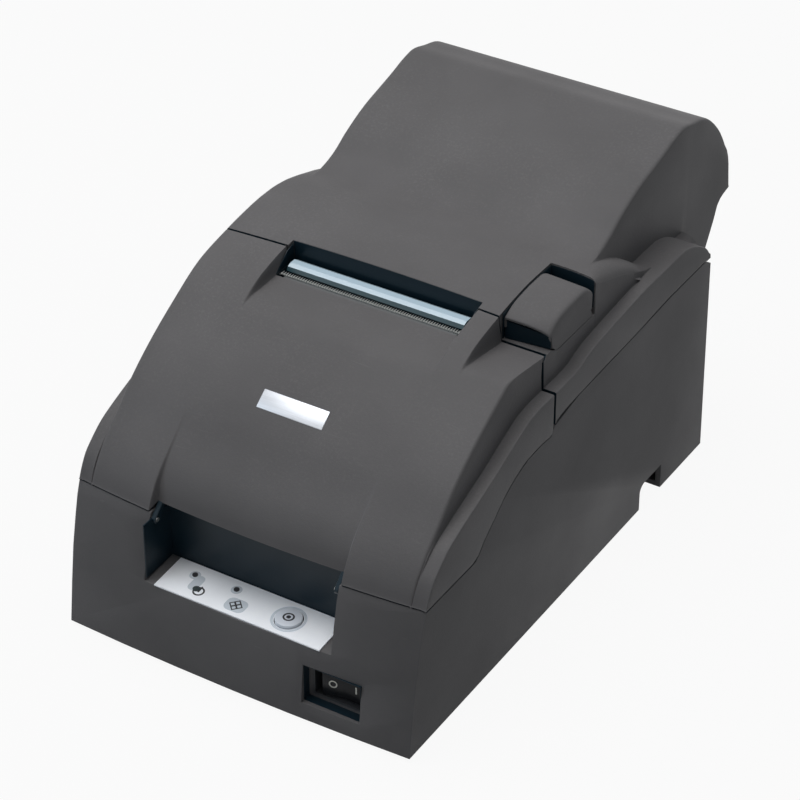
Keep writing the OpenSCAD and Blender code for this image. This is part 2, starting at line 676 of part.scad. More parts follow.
// The right plate reaches further back, to the feed motor and the latch pin
module plate_arm() {
  difference() {
    across([[frame_y1 - 1, 14], [frame_y1 + 25, 20], [frame_y1 + 25, 64], [latch_pin_at[0] + 4, latch_z - 8],
      [latch_pin_at[0] + 4, latch_z + 6.4], [latch_pin_at[0] - 3, latch_z + 6.4], [latch_y - 5, latch_z - 2],
      [frame_y1 - 1, print_z - 13]], plate_x - plate_t, plate_x);
    bar_x(0, half_w, motor_y, motor_z, 4);
    bar_x(0, half_w, latch_pin_at[0], latch_pin_at[1], 1.2);
  }
}
module left_side_plate() { color(steel) in_frame() mirror([1, 0, 0]) side_plate(); }
module right_side_plate() {
  color(steel) in_frame() union() {
    side_plate();
    plate_arm();
  }
}

module carriage_shaft() {
  color([0.8, 0.81, 0.83]) in_frame() bar_x(-plate_x - 2, plate_x + 2, carriage_y, carriage_z, shaft_r);
}

module guide_rail() {
  color([0.8, 0.81, 0.83]) in_frame() bar_x(-plate_x - 1, plate_x + 1, carriage_y - 18, carriage_z - 4, 2);
}

module carriage() {
  color(dark_grey) in_frame() difference() {
    union() {
      block([-carriage_w/2, carriage_y - 10, carriage_z - 10],
        [carriage_w/2, carriage_y + 8, carriage_z + 6]);
      block([-carriage_w/2, carriage_y - 22, carriage_z - 8], [carriage_w/2, carriage_y - 9, carriage_z]);
      // clamp that grips the belt
      block([-4, belt_y - 4, belt_z + pulley_r + 1.2], [4, belt_y + 4, carriage_z - 7.9]);
    }
    bar_x(-half_w, half_w, carriage_y, carriage_z, shaft_r + fit);
    bar_x(-half_w, half_w, carriage_y - 18, carriage_z - 4, 2 + fit);
  }
}

module print_head() {
  head_r = 8.5;
  color([0.5, 0.52, 0.55]) in_frame() union() {
    block([-8, carriage_y - 2, carriage_z + 6], [8, carriage_y + 8, carriage_z + 9.5]);
    for (i = [0:3]) bar_y(carriage_y + 1.5 + i*2.4, carriage_y + 2.7 + i*2.4, 0, print_z, head_r);
    bar_y(carriage_y + 1.5, carriage_y + 11, 0, print_z, head_r - 1.5);
    block([-2.5, carriage_y + 10, print_z - 5], [2.5, path_y - 3.2, print_z + 5]);
  }
}

module pulley() {
  bar_y(belt_y - 2.5, belt_y + 2.5, 0, 0, pulley_r);
  for (y = [belt_y - 3.5, belt_y + 2.5]) bar_y(y, y + 1, 0, 0, pulley_r + 1.2);
}
module drive_pulley() {
  color(brass) in_frame() union() {
    translate([-pulley_x, 0, belt_z]) pulley();
    bar_y(belt_y - 12, belt_y + 5, -pulley_x, belt_z, 1.5);
  }
}
module idler_pulley() {
  color(gear_white) in_frame() difference() {
    translate([pulley_x, 0, belt_z]) pulley();
    bar_y(belt_y - 9, belt_y + 9, pulley_x, belt_z, 1.5 + fit);
  }
}

module carriage_belt() {
  module loop(r, y0, y1) {
    hull_w = pulley_x;
    bar_y(y0, y1, -hull_w, belt_z, r);
    bar_y(y0, y1, hull_w, belt_z, r);
    block([-hull_w, y0, belt_z - r], [hull_w, y1, belt_z + r]);
  }
  color(black) in_frame() difference() {
    loop(pulley_r + 1.2, belt_y - 2, belt_y + 2);
    loop(pulley_r + fit, belt_y - 3, belt_y + 3);
  }
}

module motor_can(r, y0, y1) {
  difference() {
    bar_y(y0, y1, 0, 0, r);
    for (s = [-1, 1]) block([-r, y0 - 1, s*r*0.85 - (s < 0 ? r : 0)],
      [r, y1 + 1, s*r*0.85 + (s > 0 ? r : 0)]);
  }
}

module carriage_motor() {
  color([0.6, 0.62, 0.64]) in_frame() difference() {
    union() {
      translate([-pulley_x, 0, belt_z]) motor_can(12, belt_y - 24, belt_y - 5);
      // bracket down to the mechanism base
      block([-pulley_x - 10, belt_y - 6.5, base_z + 1.6], [-pulley_x + 10, belt_y - 5, belt_z + 2]);
    }
    bar_y(belt_y - 13, belt_y, -pulley_x, belt_z, 1.5 + fit);
  }
}
module idler_post() {
  color(steel) in_frame() union() {
    block([pulley_x - 6, belt_y - 6.5, base_z + 1.6], [pulley_x + 6, belt_y - 4.5, belt_z + 5]);
    bar_y(belt_y - 6, belt_y + 4, pulley_x, belt_z, 1.5);
  }
}

cassette_tilt = 30;
module in_cassette() {
  translate([0, carriage_y - 44, print_z - 28]) rotate([cassette_tilt, 0, 0]) children();
}
knob_x = -38;
module ribbon_cassette() {
  color(black) in_frame() difference() {
    union() {
      in_cassette() difference() {
        block([-56, 0, 0], [56, 44, 11]);
        block([-52, 4, 9.8], [52, 40, 12]);
        block([-30, 30, -1], [30, 46, 12]);
      }
      // arms that carry the ribbon past the head
      both_sides() block([50.5, carriage_y - 12, print_z - 6.5], [57, path_y + 0.5, print_z + 2]);
      // tabs that rest against the side plates
      both_sides() block([56, carriage_y - 10, print_z - 5],
        [plate_x - plate_t, carriage_y - 6, print_z - 2]);
    }
    both_sides() block([50, path_y - 2.6, print_z - 5], [58, path_y - 1.8, print_z + 5]);
    in_cassette() translate([knob_x, 14, -1]) cylinder(h = 14, r = 3 + fit);
  }
}
module ribbon_strip() {
  color([0.16, 0.1, 0.24]) in_frame()
    block([-57, path_y - 2.4, print_z - 4.5], [57, path_y - 2, print_z + 4]);
}
module ribbon_knob() {
  color([0.2, 0.35, 0.6]) in_frame() in_cassette() translate([knob_x, 14, 0]) {
    cylinder(h = 10.6, r = 3);
    translate([0, 0, 10.4]) cylinder(h = 2.4, r = 5.5);
    for (a = [0:60:300]) rotate([0, 0, a]) translate([5.2, 0, 10.4]) cylinder(h = 2.4, r = 0.9);
  }
}

module platen() {
  color([0.3, 0.31, 0.33]) in_frame()
    block([-plate_x + plate_t, path_y + 0.9, print_z - 8], [plate_x - plate_t, path_y + 4.5, print_z + 7]);
}

module paper_guide_bar() {
  color([0.66, 0.74, 0.8]) in_frame() union() {
    across([[path_y + 5.2, hump_h - 8.6], [path_y + 6, hump_h - 7], [path_y + 8, hump_h - 6.3],
      [path_y + 10.8, hump_h - 6.3], [path_y + 12.6, hump_h - 7.3], [path_y + 12.6, hump_h - 8.4],
      [path_y + 9, hump_h - 8.4], [path_y + 9, hump_h - 20.4], [path_y + 7.6, hump_h - 20.4],
      [path_y + 7.6, hump_h - 8.6]], -exit_x + 3.2, exit_x - 3.2);
    both_sides() block([exit_x - 3.2 - eps, path_y + 7.6, hump_h - 20.4],
      [plate_x - plate_t, path_y + 9, hump_h - 18.3]);
  }
}

module fixed_blade() {
  color(steel) in_frame()
    block([-plate_x + plate_t, path_y - 8, print_z + 10], [plate_x - plate_t, path_y - 1, print_z + 11.2]);
}
module moving_blade() {
  color(steel) in_frame()
    block([-paper_w/2 - 2, path_y + 4, print_z + 11.5], [paper_w/2 + 2, path_y + 7.2, print_z + 12.6]);
}
module cutter_motor() {
  color([0.6, 0.62, 0.64]) in_frame() {
    translate([-51, 0, print_z - 12]) motor_can(8, path_y + 9.5, path_y + 24);
    block([-plate_x + plate_t, path_y + 8, print_z - 20], [-43, path_y + 9.5, print_z - 4]);
  }
}
module cutter_guides() {
  color(steel) in_frame() both_sides() {
    block([paper_w/2 - 1, path_y + 2, print_z + 10.2], [plate_x - plate_t, path_y + 11, print_z + 11.4]);
    block([paper_w/2 + 2.2, path_y + 2, print_z + 11.3], [plate_x - plate_t, path_y + 7.4, print_z + 13]);
  }
}

// ---------- paper feed ----------

module feed_roller() {
  color(black) in_frame() union() {
    bar_x(-paper_w/2, paper_w/2, roller_y, roller_z, roller_r);
    bar_x(-plate_x - 1, plate_x + 7, roller_y, roller_z, 2);
  }
}

module pinch_rollers() {
  y = roller_y - roller_r - pinch_r - 0.4;
  color([0.25, 0.25, 0.27]) in_frame() union() {
    for (x = [-24, 0, 24]) bar_x(x - 7, x + 7, y, roller_z, pinch_r);
    bar_x(-plate_x - 1, plate_x + 1, y, roller_z, 1.5);
  }
}

// Spur gear with straight-sided teeth, a tooth pointing along +x at turn = 0
module gear(teeth, t, bore, turn) {
  r = gear_m*teeth/2;
  root = r - 1.1*gear_m;
  step = 360/teeth;
  rotate([0, 0, turn]) difference() {
    linear_extrude(t) union() {
      circle(r = root);
      for (i = [0:teeth - 1]) rotate([0, 0, i*step]) polygon([[root - 0.3, -0.95*gear_m],
        [root, -0.95*gear_m], [r, -0.66*gear_m], [r + 0.85*gear_m, -0.26*gear_m],
        [r + 0.85*gear_m, 0.26*gear_m], [r, 0.66*gear_m], [root, 0.95*gear_m], [root - 0.3, 0.95*gear_m]]);
    }
    translate([0, 0, -1]) cylinder(h = t + 2, r = bore);
  }
}
// Turn of the gear with n teeth, reached from a gear with m teeth and turn a along direction d
function mesh_turn(a, m, n, d) = d + 180 + 360/n*(0.5 - (a - d)*m/360);
roller_teeth = 24;
idler_teeth = 28;
pinion_teeth = 12;
slack = 0.12;
idler_dir = -70;
pinion_dir = 22;
idler_y = roller_y + (gear_m*(roller_teeth + idler_teeth)/2 + slack)*cos(idler_dir);
idler_z = roller_z + (gear_m*(roller_teeth + idler_teeth)/2 + slack)*sin(idler_dir);
motor_y = idler_y + (gear_m*(pinion_teeth + idler_teeth)/2 + slack)*cos(pinion_dir);
motor_z = idler_z + (gear_m*(pinion_teeth + idler_teeth)/2 + slack)*sin(pinion_dir);
idler_turn = mesh_turn(0, roller_teeth, idler_teeth, idler_dir);
pinion_turn = mesh_turn(idler_turn, idler_teeth, pinion_teeth, pinion_dir);
gear_x = plate_x + 1.2;
module on_right_plate(y, z) { translate([gear_x, y, z]) rotate([90, 0, 90]) children(); }

module roller_gear() {
  color(gear_white) in_frame() on_right_plate(roller_y, roller_z) gear(roller_teeth, 4, 2, 0);
}
module idler_gear() {
  color(gear_white) in_frame() on_right_plate(idler_y, idler_z) gear(idler_teeth, 4, 2 + fit, idler_turn);
}
module idler_stud() {
  color(steel) in_frame() union() {
    bar_x(plate_x, plate_x + 6.2, idler_y, idler_z, 2);
    bar_x(plate_x + 5.5, plate_x + 6.2, idler_y, idler_z, 3);
  }
}
module motor_pinion() {
  color(brass) in_frame() union() {
    on_right_plate(motor_y, motor_z) gear(pinion_teeth, 4, 1, pinion_turn);
    bar_x(plate_x - 12, gear_x + 5, motor_y, motor_z, 1.5);
  }
}

module feed_motor() {
  color([0.6, 0.62, 0.64]) in_frame() difference() {
    bar_x(paper_w/2 + 7.4, plate_x - plate_t, motor_y, motor_z, 14);
    bar_x(plate_x - 13, plate_x, motor_y, motor_z, 1.5 + fit);
  }
}

module paper_tray() {
  in_r = roll_r + 1.5;
  tray_x = paper_w/2 + 1.5;
  color(case_grey) in_frame() union() {
    difference() {
      intersection() {
        bar_x(-tray_x - 2, tray_x + 2, roll_y, roll_z, in_r + 2);
        block([-half_w, roll_y - in_r - 9, 0], [half_w, roll_y + in_r - 6, roll_z - 8]);
      }
      bar_x(-tray_x, tray_x, roll_y, roll_z, in_r);
      block([-tray_x - 9, roll_y - 12, roll_z - in_r + 12], [tray_x + 9, roll_y + 12, roll_z + 9]);
    }
    // legs down to the case floor
    for (x = [-1, 1]) for (y = [-14, 14])
      block([x*(tray_x - 6) - 3, roll_y + y - 3, wall],
        [x*(tray_x - 6) + 3, roll_y + y + 3, roll_z - in_r + 2]);
  }
}

// ---------- take-up ----------

bracket_x = paper_w/2 + 5;
take_teeth = 30;
take_pinion_teeth = 12;
take_dir = 205;
take_y = spool_y + (gear_m*(take_teeth + take_pinion_teeth)/2 + slack)*cos(take_dir);
take_z = spool_z + (gear_m*(take_teeth + take_pinion_teeth)/2 + slack)*sin(take_dir);
take_turn = mesh_turn(0, take_teeth, take_pinion_teeth, take_dir);
module on_left_bracket(y, z) {
  translate([-bracket_x - 2.2, y, z]) rotate([90, 0, -90]) mirror([1, 0, 0]) children();
}

module take_up_brackets() {
  color(steel) in_frame() both_sides() difference() {
    across([[pocket_y + 14, pocket_z + wall], [pocket_y + 34, pocket_z + wall], [pocket_y + 37, case_h - 14],
      [spool_y + 7, spool_z - 6], [spool_y + 7, spool_z + 5], [spool_y - 6, spool_z + 5],
      [pocket_y + 14, case_h - 6]], bracket_x, bracket_x + 1.6);
    bar_x(0, half_w, spool_y, spool_z, 2 + fit);
  }
}

module take_up_spool() {
  in_x = paper_w/2 + 0.5;
  color([0.2, 0.2, 0.22]) in_frame() union() {
    bar_x(-in_x, in_x, spool_y, spool_z, core_r);
    both_sides() bar_x(in_x, in_x + 2, spool_y, spool_z, flange_r);
    bar_x(-bracket_x - 7, bracket_x + 3, spool_y, spool_z, 2);
  }
}
module take_up_gear() {
  color(gear_white) in_frame() on_left_bracket(spool_y, spool_z) gear(take_teeth, 4, 2, 0);
}
module take_up_pinion() {
  color(brass) in_frame() union() {
    on_left_bracket(take_y, take_z) gear(take_pinion_teeth, 4, 1, take_turn);
    bar_x(-bracket_x - 15, -bracket_x - 2, take_y, take_z, 1.5);
  }
}
module take_up_motor() {
  color([0.6, 0.62, 0.64]) in_frame() difference() {
    union() {
      bar_x(-bracket_x - 19, -bracket_x - 7, take_y, take_z, 7);
      // face plate that stands on the connector pocket
      block([-bracket_x - 8.4, take_y - 8, pocket_z + wall], [-bracket_x - 7, take_y + 8, take_z + 4]);
    }
    bar_x(-bracket_x - 16, -bracket_x - 6, take_y, take_z, 1.5 + fit);
  }
}

// ---------- electronics ----------

board_x = half_w - 18;
board_y0 = 44;
board_y1 = pocket_y - 6;
module main_board() {
  color(board_green) in_frame() difference() {
    block([-board_x, board_y0, board_z], [board_x, board_y1, board_z + 1.6]);
    for (p = frame_screw_places) translate([p[0], p[1], 0]) cylinder(h = 20, r = 4);
    both_sides() block([plate_x - plate_t - air, frame_y0 - 1, 0], [plate_x + air, frame_y1 + air, 20]);
    for (x = [-1, 1]) for (y = [-14, 14])
      block([x*(paper_w/2 - 4.5) - 3.5, roll_y + y - 3.5, 0],
        [x*(paper_w/2 - 4.5) + 3.5, roll_y + y + 3.5, 20]);
  }
}

module board_parts() {
  top = board_z + 1.6;
  color(black) in_frame() {
    block([-20, 60, top], [2, 82, top + 2]);
    block([14, 66, top], [30, 76, top + 2]);
    block([-44, 100, top], [-30, 108, top + 2]);
    for (i = [0:3]) translate([-48 + i*11, roll_y - 4, top]) cylinder(h = 10, r = 4);
    block([8, 148, top], [28, 158, top + 8]);
    for (i = [0:4]) block([-52 + i*7, 126, top], [-48 + i*7, 131, top + 1.4]);
    for (x = [-1, 1]) for (y = [board_y0 + 12, board_y1 - 8]) translate([x*(board_x - 26), y, wall])
      cylinder(h = board_z - wall, r = 3);
  }
}

module connector_panel() {
  y = pocket_y;
  color(steel) in_frame() difference() {
    block([-pocket_x, y, 2], [pocket_x, y + 1, pocket_z]);
    block([-46, y - 1, 12], [-4, y + 2, 24]);
    block([6, y - 1, 12], [22, y + 2, 26]);
    bar_y(y - 1, y + 2, 40, 18, 7.5);
  }
}
module data_connector() {
  y = pocket_y;
  color([0.55, 0.56, 0.58]) in_frame() difference() {
    union() {
      block([-46, y - 9, 12], [-4, y + 6, 24]);
      for (x = [-49, -1]) block([x - 2.6, y + 1, 14], [x + 2.6, y + 6, 22]);
    }
    block([-43, y + 1, 14], [-7, y + 7, 22]);
  }
}
module drawer_connector() {
  y = pocket_y;
  color(dark_grey) in_frame() difference() {
    block([6, y - 9, 12], [22, y + 3, 26]);
    block([8, y - 6, 14], [20, y + 4, 24]);
  }
}
module power_inlet() {
  y = pocket_y;
  color(black) in_frame() difference() {
    bar_y(y - 9, y + 3, 40, 18, 7.5);
    bar_y(y - 5, y + 4, 40, 18, 5);
  }
}

lower_case();
front_cover();
roll_cover();
release_lever();
badge_plate();
tear_bar();
control_panel();
indicator_windows();
feed_button();
control_board();
switch_body();
power_rocker();
rubber_feet();
case_screws();
front_hinge_pins();
rear_hinge_pins();
lever_pin();
latch_pin();
mechanism_base();
left_side_plate();
right_side_plate();
frame_screws();
carriage_shaft();
guide_rail();
carriage();
print_head();
carriage_belt();
drive_pulley();
idler_pulley();
carriage_motor();
idler_post();
ribbon_cassette();
ribbon_strip();
ribbon_knob();
platen();
paper_guide_bar();
fixed_blade();
moving_blade();
cutter_motor();
cutter_guides();
feed_roller();
roller_gear();
idler_gear();
idler_stud();
motor_pinion();
feed_motor();
pinch_rollers();
paper_tray();
take_up_brackets();
take_up_spool();
take_up_gear();
take_up_pinion();
take_up_motor();
main_board();
board_parts();
connector_panel();
data_connector();
drawer_connector();
power_inlet();
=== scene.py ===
"""Looks of a desktop dot matrix receipt printer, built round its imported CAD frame."""

import json
import math

import bmesh
import bpy
import numpy as np
from mathutils import Matrix, Vector


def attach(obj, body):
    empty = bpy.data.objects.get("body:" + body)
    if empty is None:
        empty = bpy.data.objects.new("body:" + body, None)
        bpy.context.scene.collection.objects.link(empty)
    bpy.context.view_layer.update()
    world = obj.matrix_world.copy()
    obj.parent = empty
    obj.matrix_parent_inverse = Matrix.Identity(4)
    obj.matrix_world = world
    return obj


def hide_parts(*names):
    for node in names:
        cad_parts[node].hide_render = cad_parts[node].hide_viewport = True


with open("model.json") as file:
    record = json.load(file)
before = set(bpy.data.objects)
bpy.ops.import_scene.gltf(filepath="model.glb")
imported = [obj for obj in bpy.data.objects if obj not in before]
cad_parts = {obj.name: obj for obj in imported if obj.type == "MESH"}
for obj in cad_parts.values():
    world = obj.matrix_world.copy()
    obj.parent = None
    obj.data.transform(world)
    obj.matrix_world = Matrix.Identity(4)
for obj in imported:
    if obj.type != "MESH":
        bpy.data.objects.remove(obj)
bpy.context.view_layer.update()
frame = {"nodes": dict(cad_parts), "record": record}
NODES = frame["nodes"]
BODY_OF = {n: body for body, nodes in frame["record"]["behaviour"]["bodies"].items() for n in nodes}
SLOT_OF = {s["node"]: s["material_slot"] for s in frame["record"]["subparts"]}
MM = 0.001


# ---------- camera, lights and surroundings ----------

def add_camera():
    """The photograph's viewpoint: turn, tilt and roll about a point in the middle of the case."""
    turn, tilt, roll = (math.radians(angle) for angle in (31.753, 34.767, -0.068))
    aim = Vector((0, -0.021, 0.062))
    distance = 1.223605
    aside, above = -0.0014469, -0.0050946
    back = Vector((math.sin(turn) * math.cos(tilt), -math.cos(turn) * math.cos(tilt), math.sin(tilt)))
    right = Vector((math.cos(turn), math.sin(turn), 0))
    up = back.cross(right)
    place = aim - aside * right - above * up + distance * back
    right, up = (math.cos(roll) * right + math.sin(roll) * up,
                 math.cos(roll) * up - math.sin(roll) * right)
    data = bpy.data.cameras.new("camera")
    data.sensor_width = 36
    data.lens = 134.92
    data.clip_start, data.clip_end = 0.05, 20
    camera = bpy.data.objects.new("camera", data)
    camera.matrix_world = Matrix.Translation(place) @ Matrix((right, up, back)).transposed().to_4x4()
    bpy.context.scene.collection.objects.link(camera)
    bpy.context.scene.camera = camera


def add_softbox(name, place, aim, size, power, color):
    """A rectangular area light; size in metres, power in watts."""
    data = bpy.data.lights.new(name, "AREA")
    data.shape = "RECTANGLE"
    data.size, data.size_y = size
    data.energy = power
    data.color = color
    lamp = bpy.data.objects.new(name, data)
    lamp.location = place
    lamp.rotation_euler = (Vector(aim) - Vector(place)).to_track_quat("-Z", "Y").to_euler()
    bpy.context.scene.collection.objects.link(lamp)


def add(tree, kind, inputs=None, **settings):
    """One node: its settings, and its inputs by name or number as a value or another node's output."""
    node = tree.nodes.new(kind)
    for key, value in settings.items():
        setattr(node, key, value)
    for key, value in (inputs or {}).items():
        if isinstance(value, bpy.types.NodeSocket):
            tree.links.new(value, node.inputs[key])
        else:
            node.inputs[key].default_value = value
    return node


def math_node(tree, operation, a, b, clamp=False):
    return add(tree, "ShaderNodeMath", {0: a, 1: b}, operation=operation, use_clamp=clamp).outputs[0]


def seen_directly(tree):
    """1 for what the camera, a mirror or glass shows, 0 for the light that falls on the object."""
    path = add(tree, "ShaderNodeLightPath").outputs
    both = math_node(tree, "MAXIMUM", path["Is Camera Ray"], path["Is Glossy Ray"])
    return math_node(tree, "MAXIMUM", both, path["Is Transmission Ray"])


def add_surroundings():
    """A white studio: what the camera sees is white, what lights the object is dimmer."""
    world = bpy.data.worlds.new("studio")
    bpy.context.scene.world = world
    world.use_nodes = True
    tree = world.node_tree
    tree.nodes.clear()
    dim = add(tree, "ShaderNodeBackground", {"Color": (0.78, 0.90, 1, 1), "Strength": 0.12})
    white = add(tree, "ShaderNodeBackground", {"Color": (1, 1, 1, 1), "Strength": 1.0})
    seen = seen_directly(tree)
    mix = add(tree, "ShaderNodeMixShader", {0: seen, 1: dim.outputs[0], 2: white.outputs[0]})
    add(tree, "ShaderNodeOutputWorld", {0: mix.outputs[0]})

    material = bpy.data.materials.new("studio_floor")
    material.use_nodes = True
    tree = material.node_tree
    tree.nodes.clear()
    paper = add(tree, "ShaderNodeBsdfDiffuse", {"Color": (0.45, 0.45, 0.45, 1)})
    glow = add(tree, "ShaderNodeEmission", {"Color": (1, 1, 1, 1), "Strength": 1.0})
    share = math_node(tree, "MULTIPLY", seen_directly(tree), 0.93)
    mix = add(tree, "ShaderNodeMixShader", {0: share, 1: paper.outputs[0], 2: glow.outputs[0]})
    add(tree, "ShaderNodeOutputMaterial", {0: mix.outputs[0]})
    reach = 4
    mesh = bpy.data.meshes.new("floor")
    mesh.from_pydata([(-reach, -reach, 0), (reach, -reach, 0), (reach, reach, 0), (-reach, reach, 0)],
                     [], [(0, 1, 2, 3)])
    mesh.materials.append(material)
    floor = bpy.data.objects.new("floor", mesh)
    bpy.context.scene.collection.objects.link(floor)

    middle = (0, 0, 0.08)
    add_softbox("overhead", (-0.25, -0.10, 1.6), middle, (1.4, 1.4), 24.5, (1, 0.985, 0.98))
    add_softbox("left_fill", (-1.6, -1.1, 0.8), middle, (1.0, 0.9), 6, (0.74, 0.87, 1))
    add_softbox("right_fill", (1.2, 1.1, 1.3), middle, (0.9, 0.7), 1.6, (0.86, 0.93, 1))


bpy.context.scene.view_settings.view_transform = "Standard"
add_camera()
add_surroundings()


# ---------- shared effects, as node groups ----------

def start_group(name, inputs, outputs):
    tree = bpy.data.node_groups.new(name, "ShaderNodeTree")
    for label, kind, default in inputs:
        tree.interface.new_socket(label, in_out="INPUT", socket_type=kind).default_value = default
    for label, kind in outputs:
        tree.interface.new_socket(label, in_out="OUTPUT", socket_type=kind)
    return tree, add(tree, "NodeGroupInput").outputs, add(tree, "NodeGroupOutput").inputs


FLOAT = "NodeSocketFloat"


def ramp(tree, value, low, high, start=0.0, end=1.0):
    """value from low..high to start..end, held at both ends."""
    return add(tree, "ShaderNodeMapRange", {0: value, 1: low, 2: high, 3: start, 4: end}).outputs[0]


def noise(tree, scale, vector, detail=2.0, roughness=0.5):
    return add(tree, "ShaderNodeTexNoise", {"Scale": scale, "Vector": vector, "Detail": detail,
                                            "Roughness": roughness}).outputs[0]


def stretched(tree, scale):
    """Object coordinates stretched along the axes, for marks that run one way."""
    place = add(tree, "ShaderNodeTexCoord").outputs["Object"]
    return add(tree, "ShaderNodeMapping", {"Vector": place, "Scale": scale}).outputs[0]


def make_moulded_grain():
    """Spark-eroded mould texture, slow shade changes and a few fine scratches."""
    tree, given, out = start_group(
        "moulded_grain",
        [("Grains per metre", FLOAT, 2400.0), ("Scratches", FLOAT, 0.5)],
        [("Height", FLOAT), ("Shade", FLOAT), ("Scratch", FLOAT)])
    place = add(tree, "ShaderNodeTexCoord").outputs["Object"]
    fine = noise(tree, given[0], place, 3.0, 0.6)
    half = math_node(tree, "MULTIPLY", given[0], 0.4)
    pits = add(tree, "ShaderNodeTexVoronoi", {"Scale": half, "Vector": place},
               feature="SMOOTH_F1").outputs[0]
    tree.links.new(math_node(tree, "ADD", fine, math_node(tree, "MULTIPLY", pits, 0.6)), out["Height"])
    slow = noise(tree, 22.0, place, 4.0, 0.55)
    tree.links.new(ramp(tree, slow, 0.3, 0.7, 0.93, 1.07), out["Shade"])
    lines = noise(tree, 1.0, stretched(tree, (90, 1500, 420)), 1.0)
    patches = noise(tree, 34.0, place, 1.0)
    scratch = math_node(tree, "MULTIPLY", ramp(tree, lines, 0.70, 0.76), ramp(tree, patches, 0.52, 0.66))
    tree.links.new(math_node(tree, "MULTIPLY", scratch, given[1]), out["Scratch"])
    return tree


def make_edge_wear():
    """Edges that hands and cloths have polished, broken up by noise."""
    tree, given, out = start_group(
        "edge_wear", [("Amount", FLOAT, 0.5)], [("Mask", FLOAT)])
    place = add(tree, "ShaderNodeTexCoord").outputs["Object"]
    sharp = add(tree, "ShaderNodeNewGeometry").outputs["Pointiness"]
    broken = ramp(tree, noise(tree, 160.0, place, 3.0), 0.35, 0.65, 0.25, 1.0)
    edge = math_node(tree, "MULTIPLY", ramp(tree, sharp, 0.53, 0.62), broken)
    tree.links.new(math_node(tree, "MULTIPLY", edge, given[0], True), out["Mask"])
    return tree


def make_dust():
    """Fine dust on what faces up."""
    tree, given, out = start_group("dust", [("Amount", FLOAT, 0.3)], [("Mask", FLOAT)])
    place = add(tree, "ShaderNodeTexCoord").outputs["Object"]
    facing = add(tree, "ShaderNodeNewGeometry").outputs["Normal"]
    up = add(tree, "ShaderNodeSeparateXYZ", {0: facing}).outputs[2]
    specks = ramp(tree, noise(tree, 900.0, place, 2.0, 0.7), 0.5, 0.72)
    cloud = ramp(tree, noise(tree, 30.0, place, 3.0), 0.35, 0.7, 0.15, 1.0)
    scattered = math_node(tree, "MULTIPLY", specks, cloud)
    lying = math_node(tree, "MULTIPLY", ramp(tree, up, 0.35, 0.95), scattered)
    tree.links.new(math_node(tree, "MULTIPLY", lying, given[0], True), out["Mask"])
    return tree


def make_metal_lines():
    """Rolling or grinding lines along one axis, with stains."""
    tree, given, out = start_group(
        "metal_lines",
        [("Across x", FLOAT, 60.0), ("Across y", FLOAT, 2200.0), ("Across z", FLOAT, 2200.0)],
        [("Height", FLOAT), ("Shade", FLOAT), ("Stain", FLOAT)])
    place = add(tree, "ShaderNodeTexCoord").outputs["Object"]
    scale = add(tree, "ShaderNodeCombineXYZ", {0: given[0], 1: given[1], 2: given[2]}).outputs[0]
    along = add(tree, "ShaderNodeVectorMath", {0: place, 1: scale}, operation="MULTIPLY").outputs[0]
    lines = noise(tree, 1.0, along, 2.0, 0.6)
    tree.links.new(lines, out["Height"])
    tree.links.new(ramp(tree, lines, 0.3, 0.7, 0.88, 1.06), out["Shade"])
    tree.links.new(ramp(tree, noise(tree, 45.0, place, 4.0, 0.6), 0.48, 0.75), out["Stain"])
    return tree


GRAIN, WEAR, DUST, LINES = make_moulded_grain(), make_edge_wear(), make_dust(), make_metal_lines()


# ---------- materials ----------

def place_group(tree, group, values):
    return add(tree, "ShaderNodeGroup", values, node_tree=group).outputs


def tinted(tree, color, shade):
    """color made lighter or darker by shade, a value round 1."""
    shades = add(tree, "ShaderNodeCombineColor", {0: shade, 1: shade, 2: shade}).outputs[0]
    return add(tree, "ShaderNodeMix", {0: 1.0, 6: (*color, 1), 7: shades},
               data_type="RGBA", blend_type="MULTIPLY").outputs[2]


def over(tree, under, mask, color):
    """color laid over the colour under, where mask is 1."""
    return add(tree, "ShaderNodeMix", {0: mask, 6: under, 7: (*color, 1)}, data_type="RGBA").outputs[2]


SOCKETS = {"specular_ior_level": "Specular IOR Level", "coat_weight": "Coat Weight"}


def start_material(name, roughness, metallic=0.0, **constants):
    material = bpy.data.materials.new(name)
    material.use_nodes = True
    tree = material.node_tree
    shader = tree.nodes["Principled BSDF"]
    shader.inputs["Roughness"].default_value = roughness
    shader.inputs["Metallic"].default_value = metallic
    for label, value in constants.items():
        shader.inputs[SOCKETS[label]].default_value = value
    return material, tree, shader


def bump(tree, shader, height, depth):
    node = add(tree, "ShaderNodeBump", {"Height": height, "Distance": depth, "Strength": 1.0})
    tree.links.new(node.outputs[0], shader.inputs["Normal"])


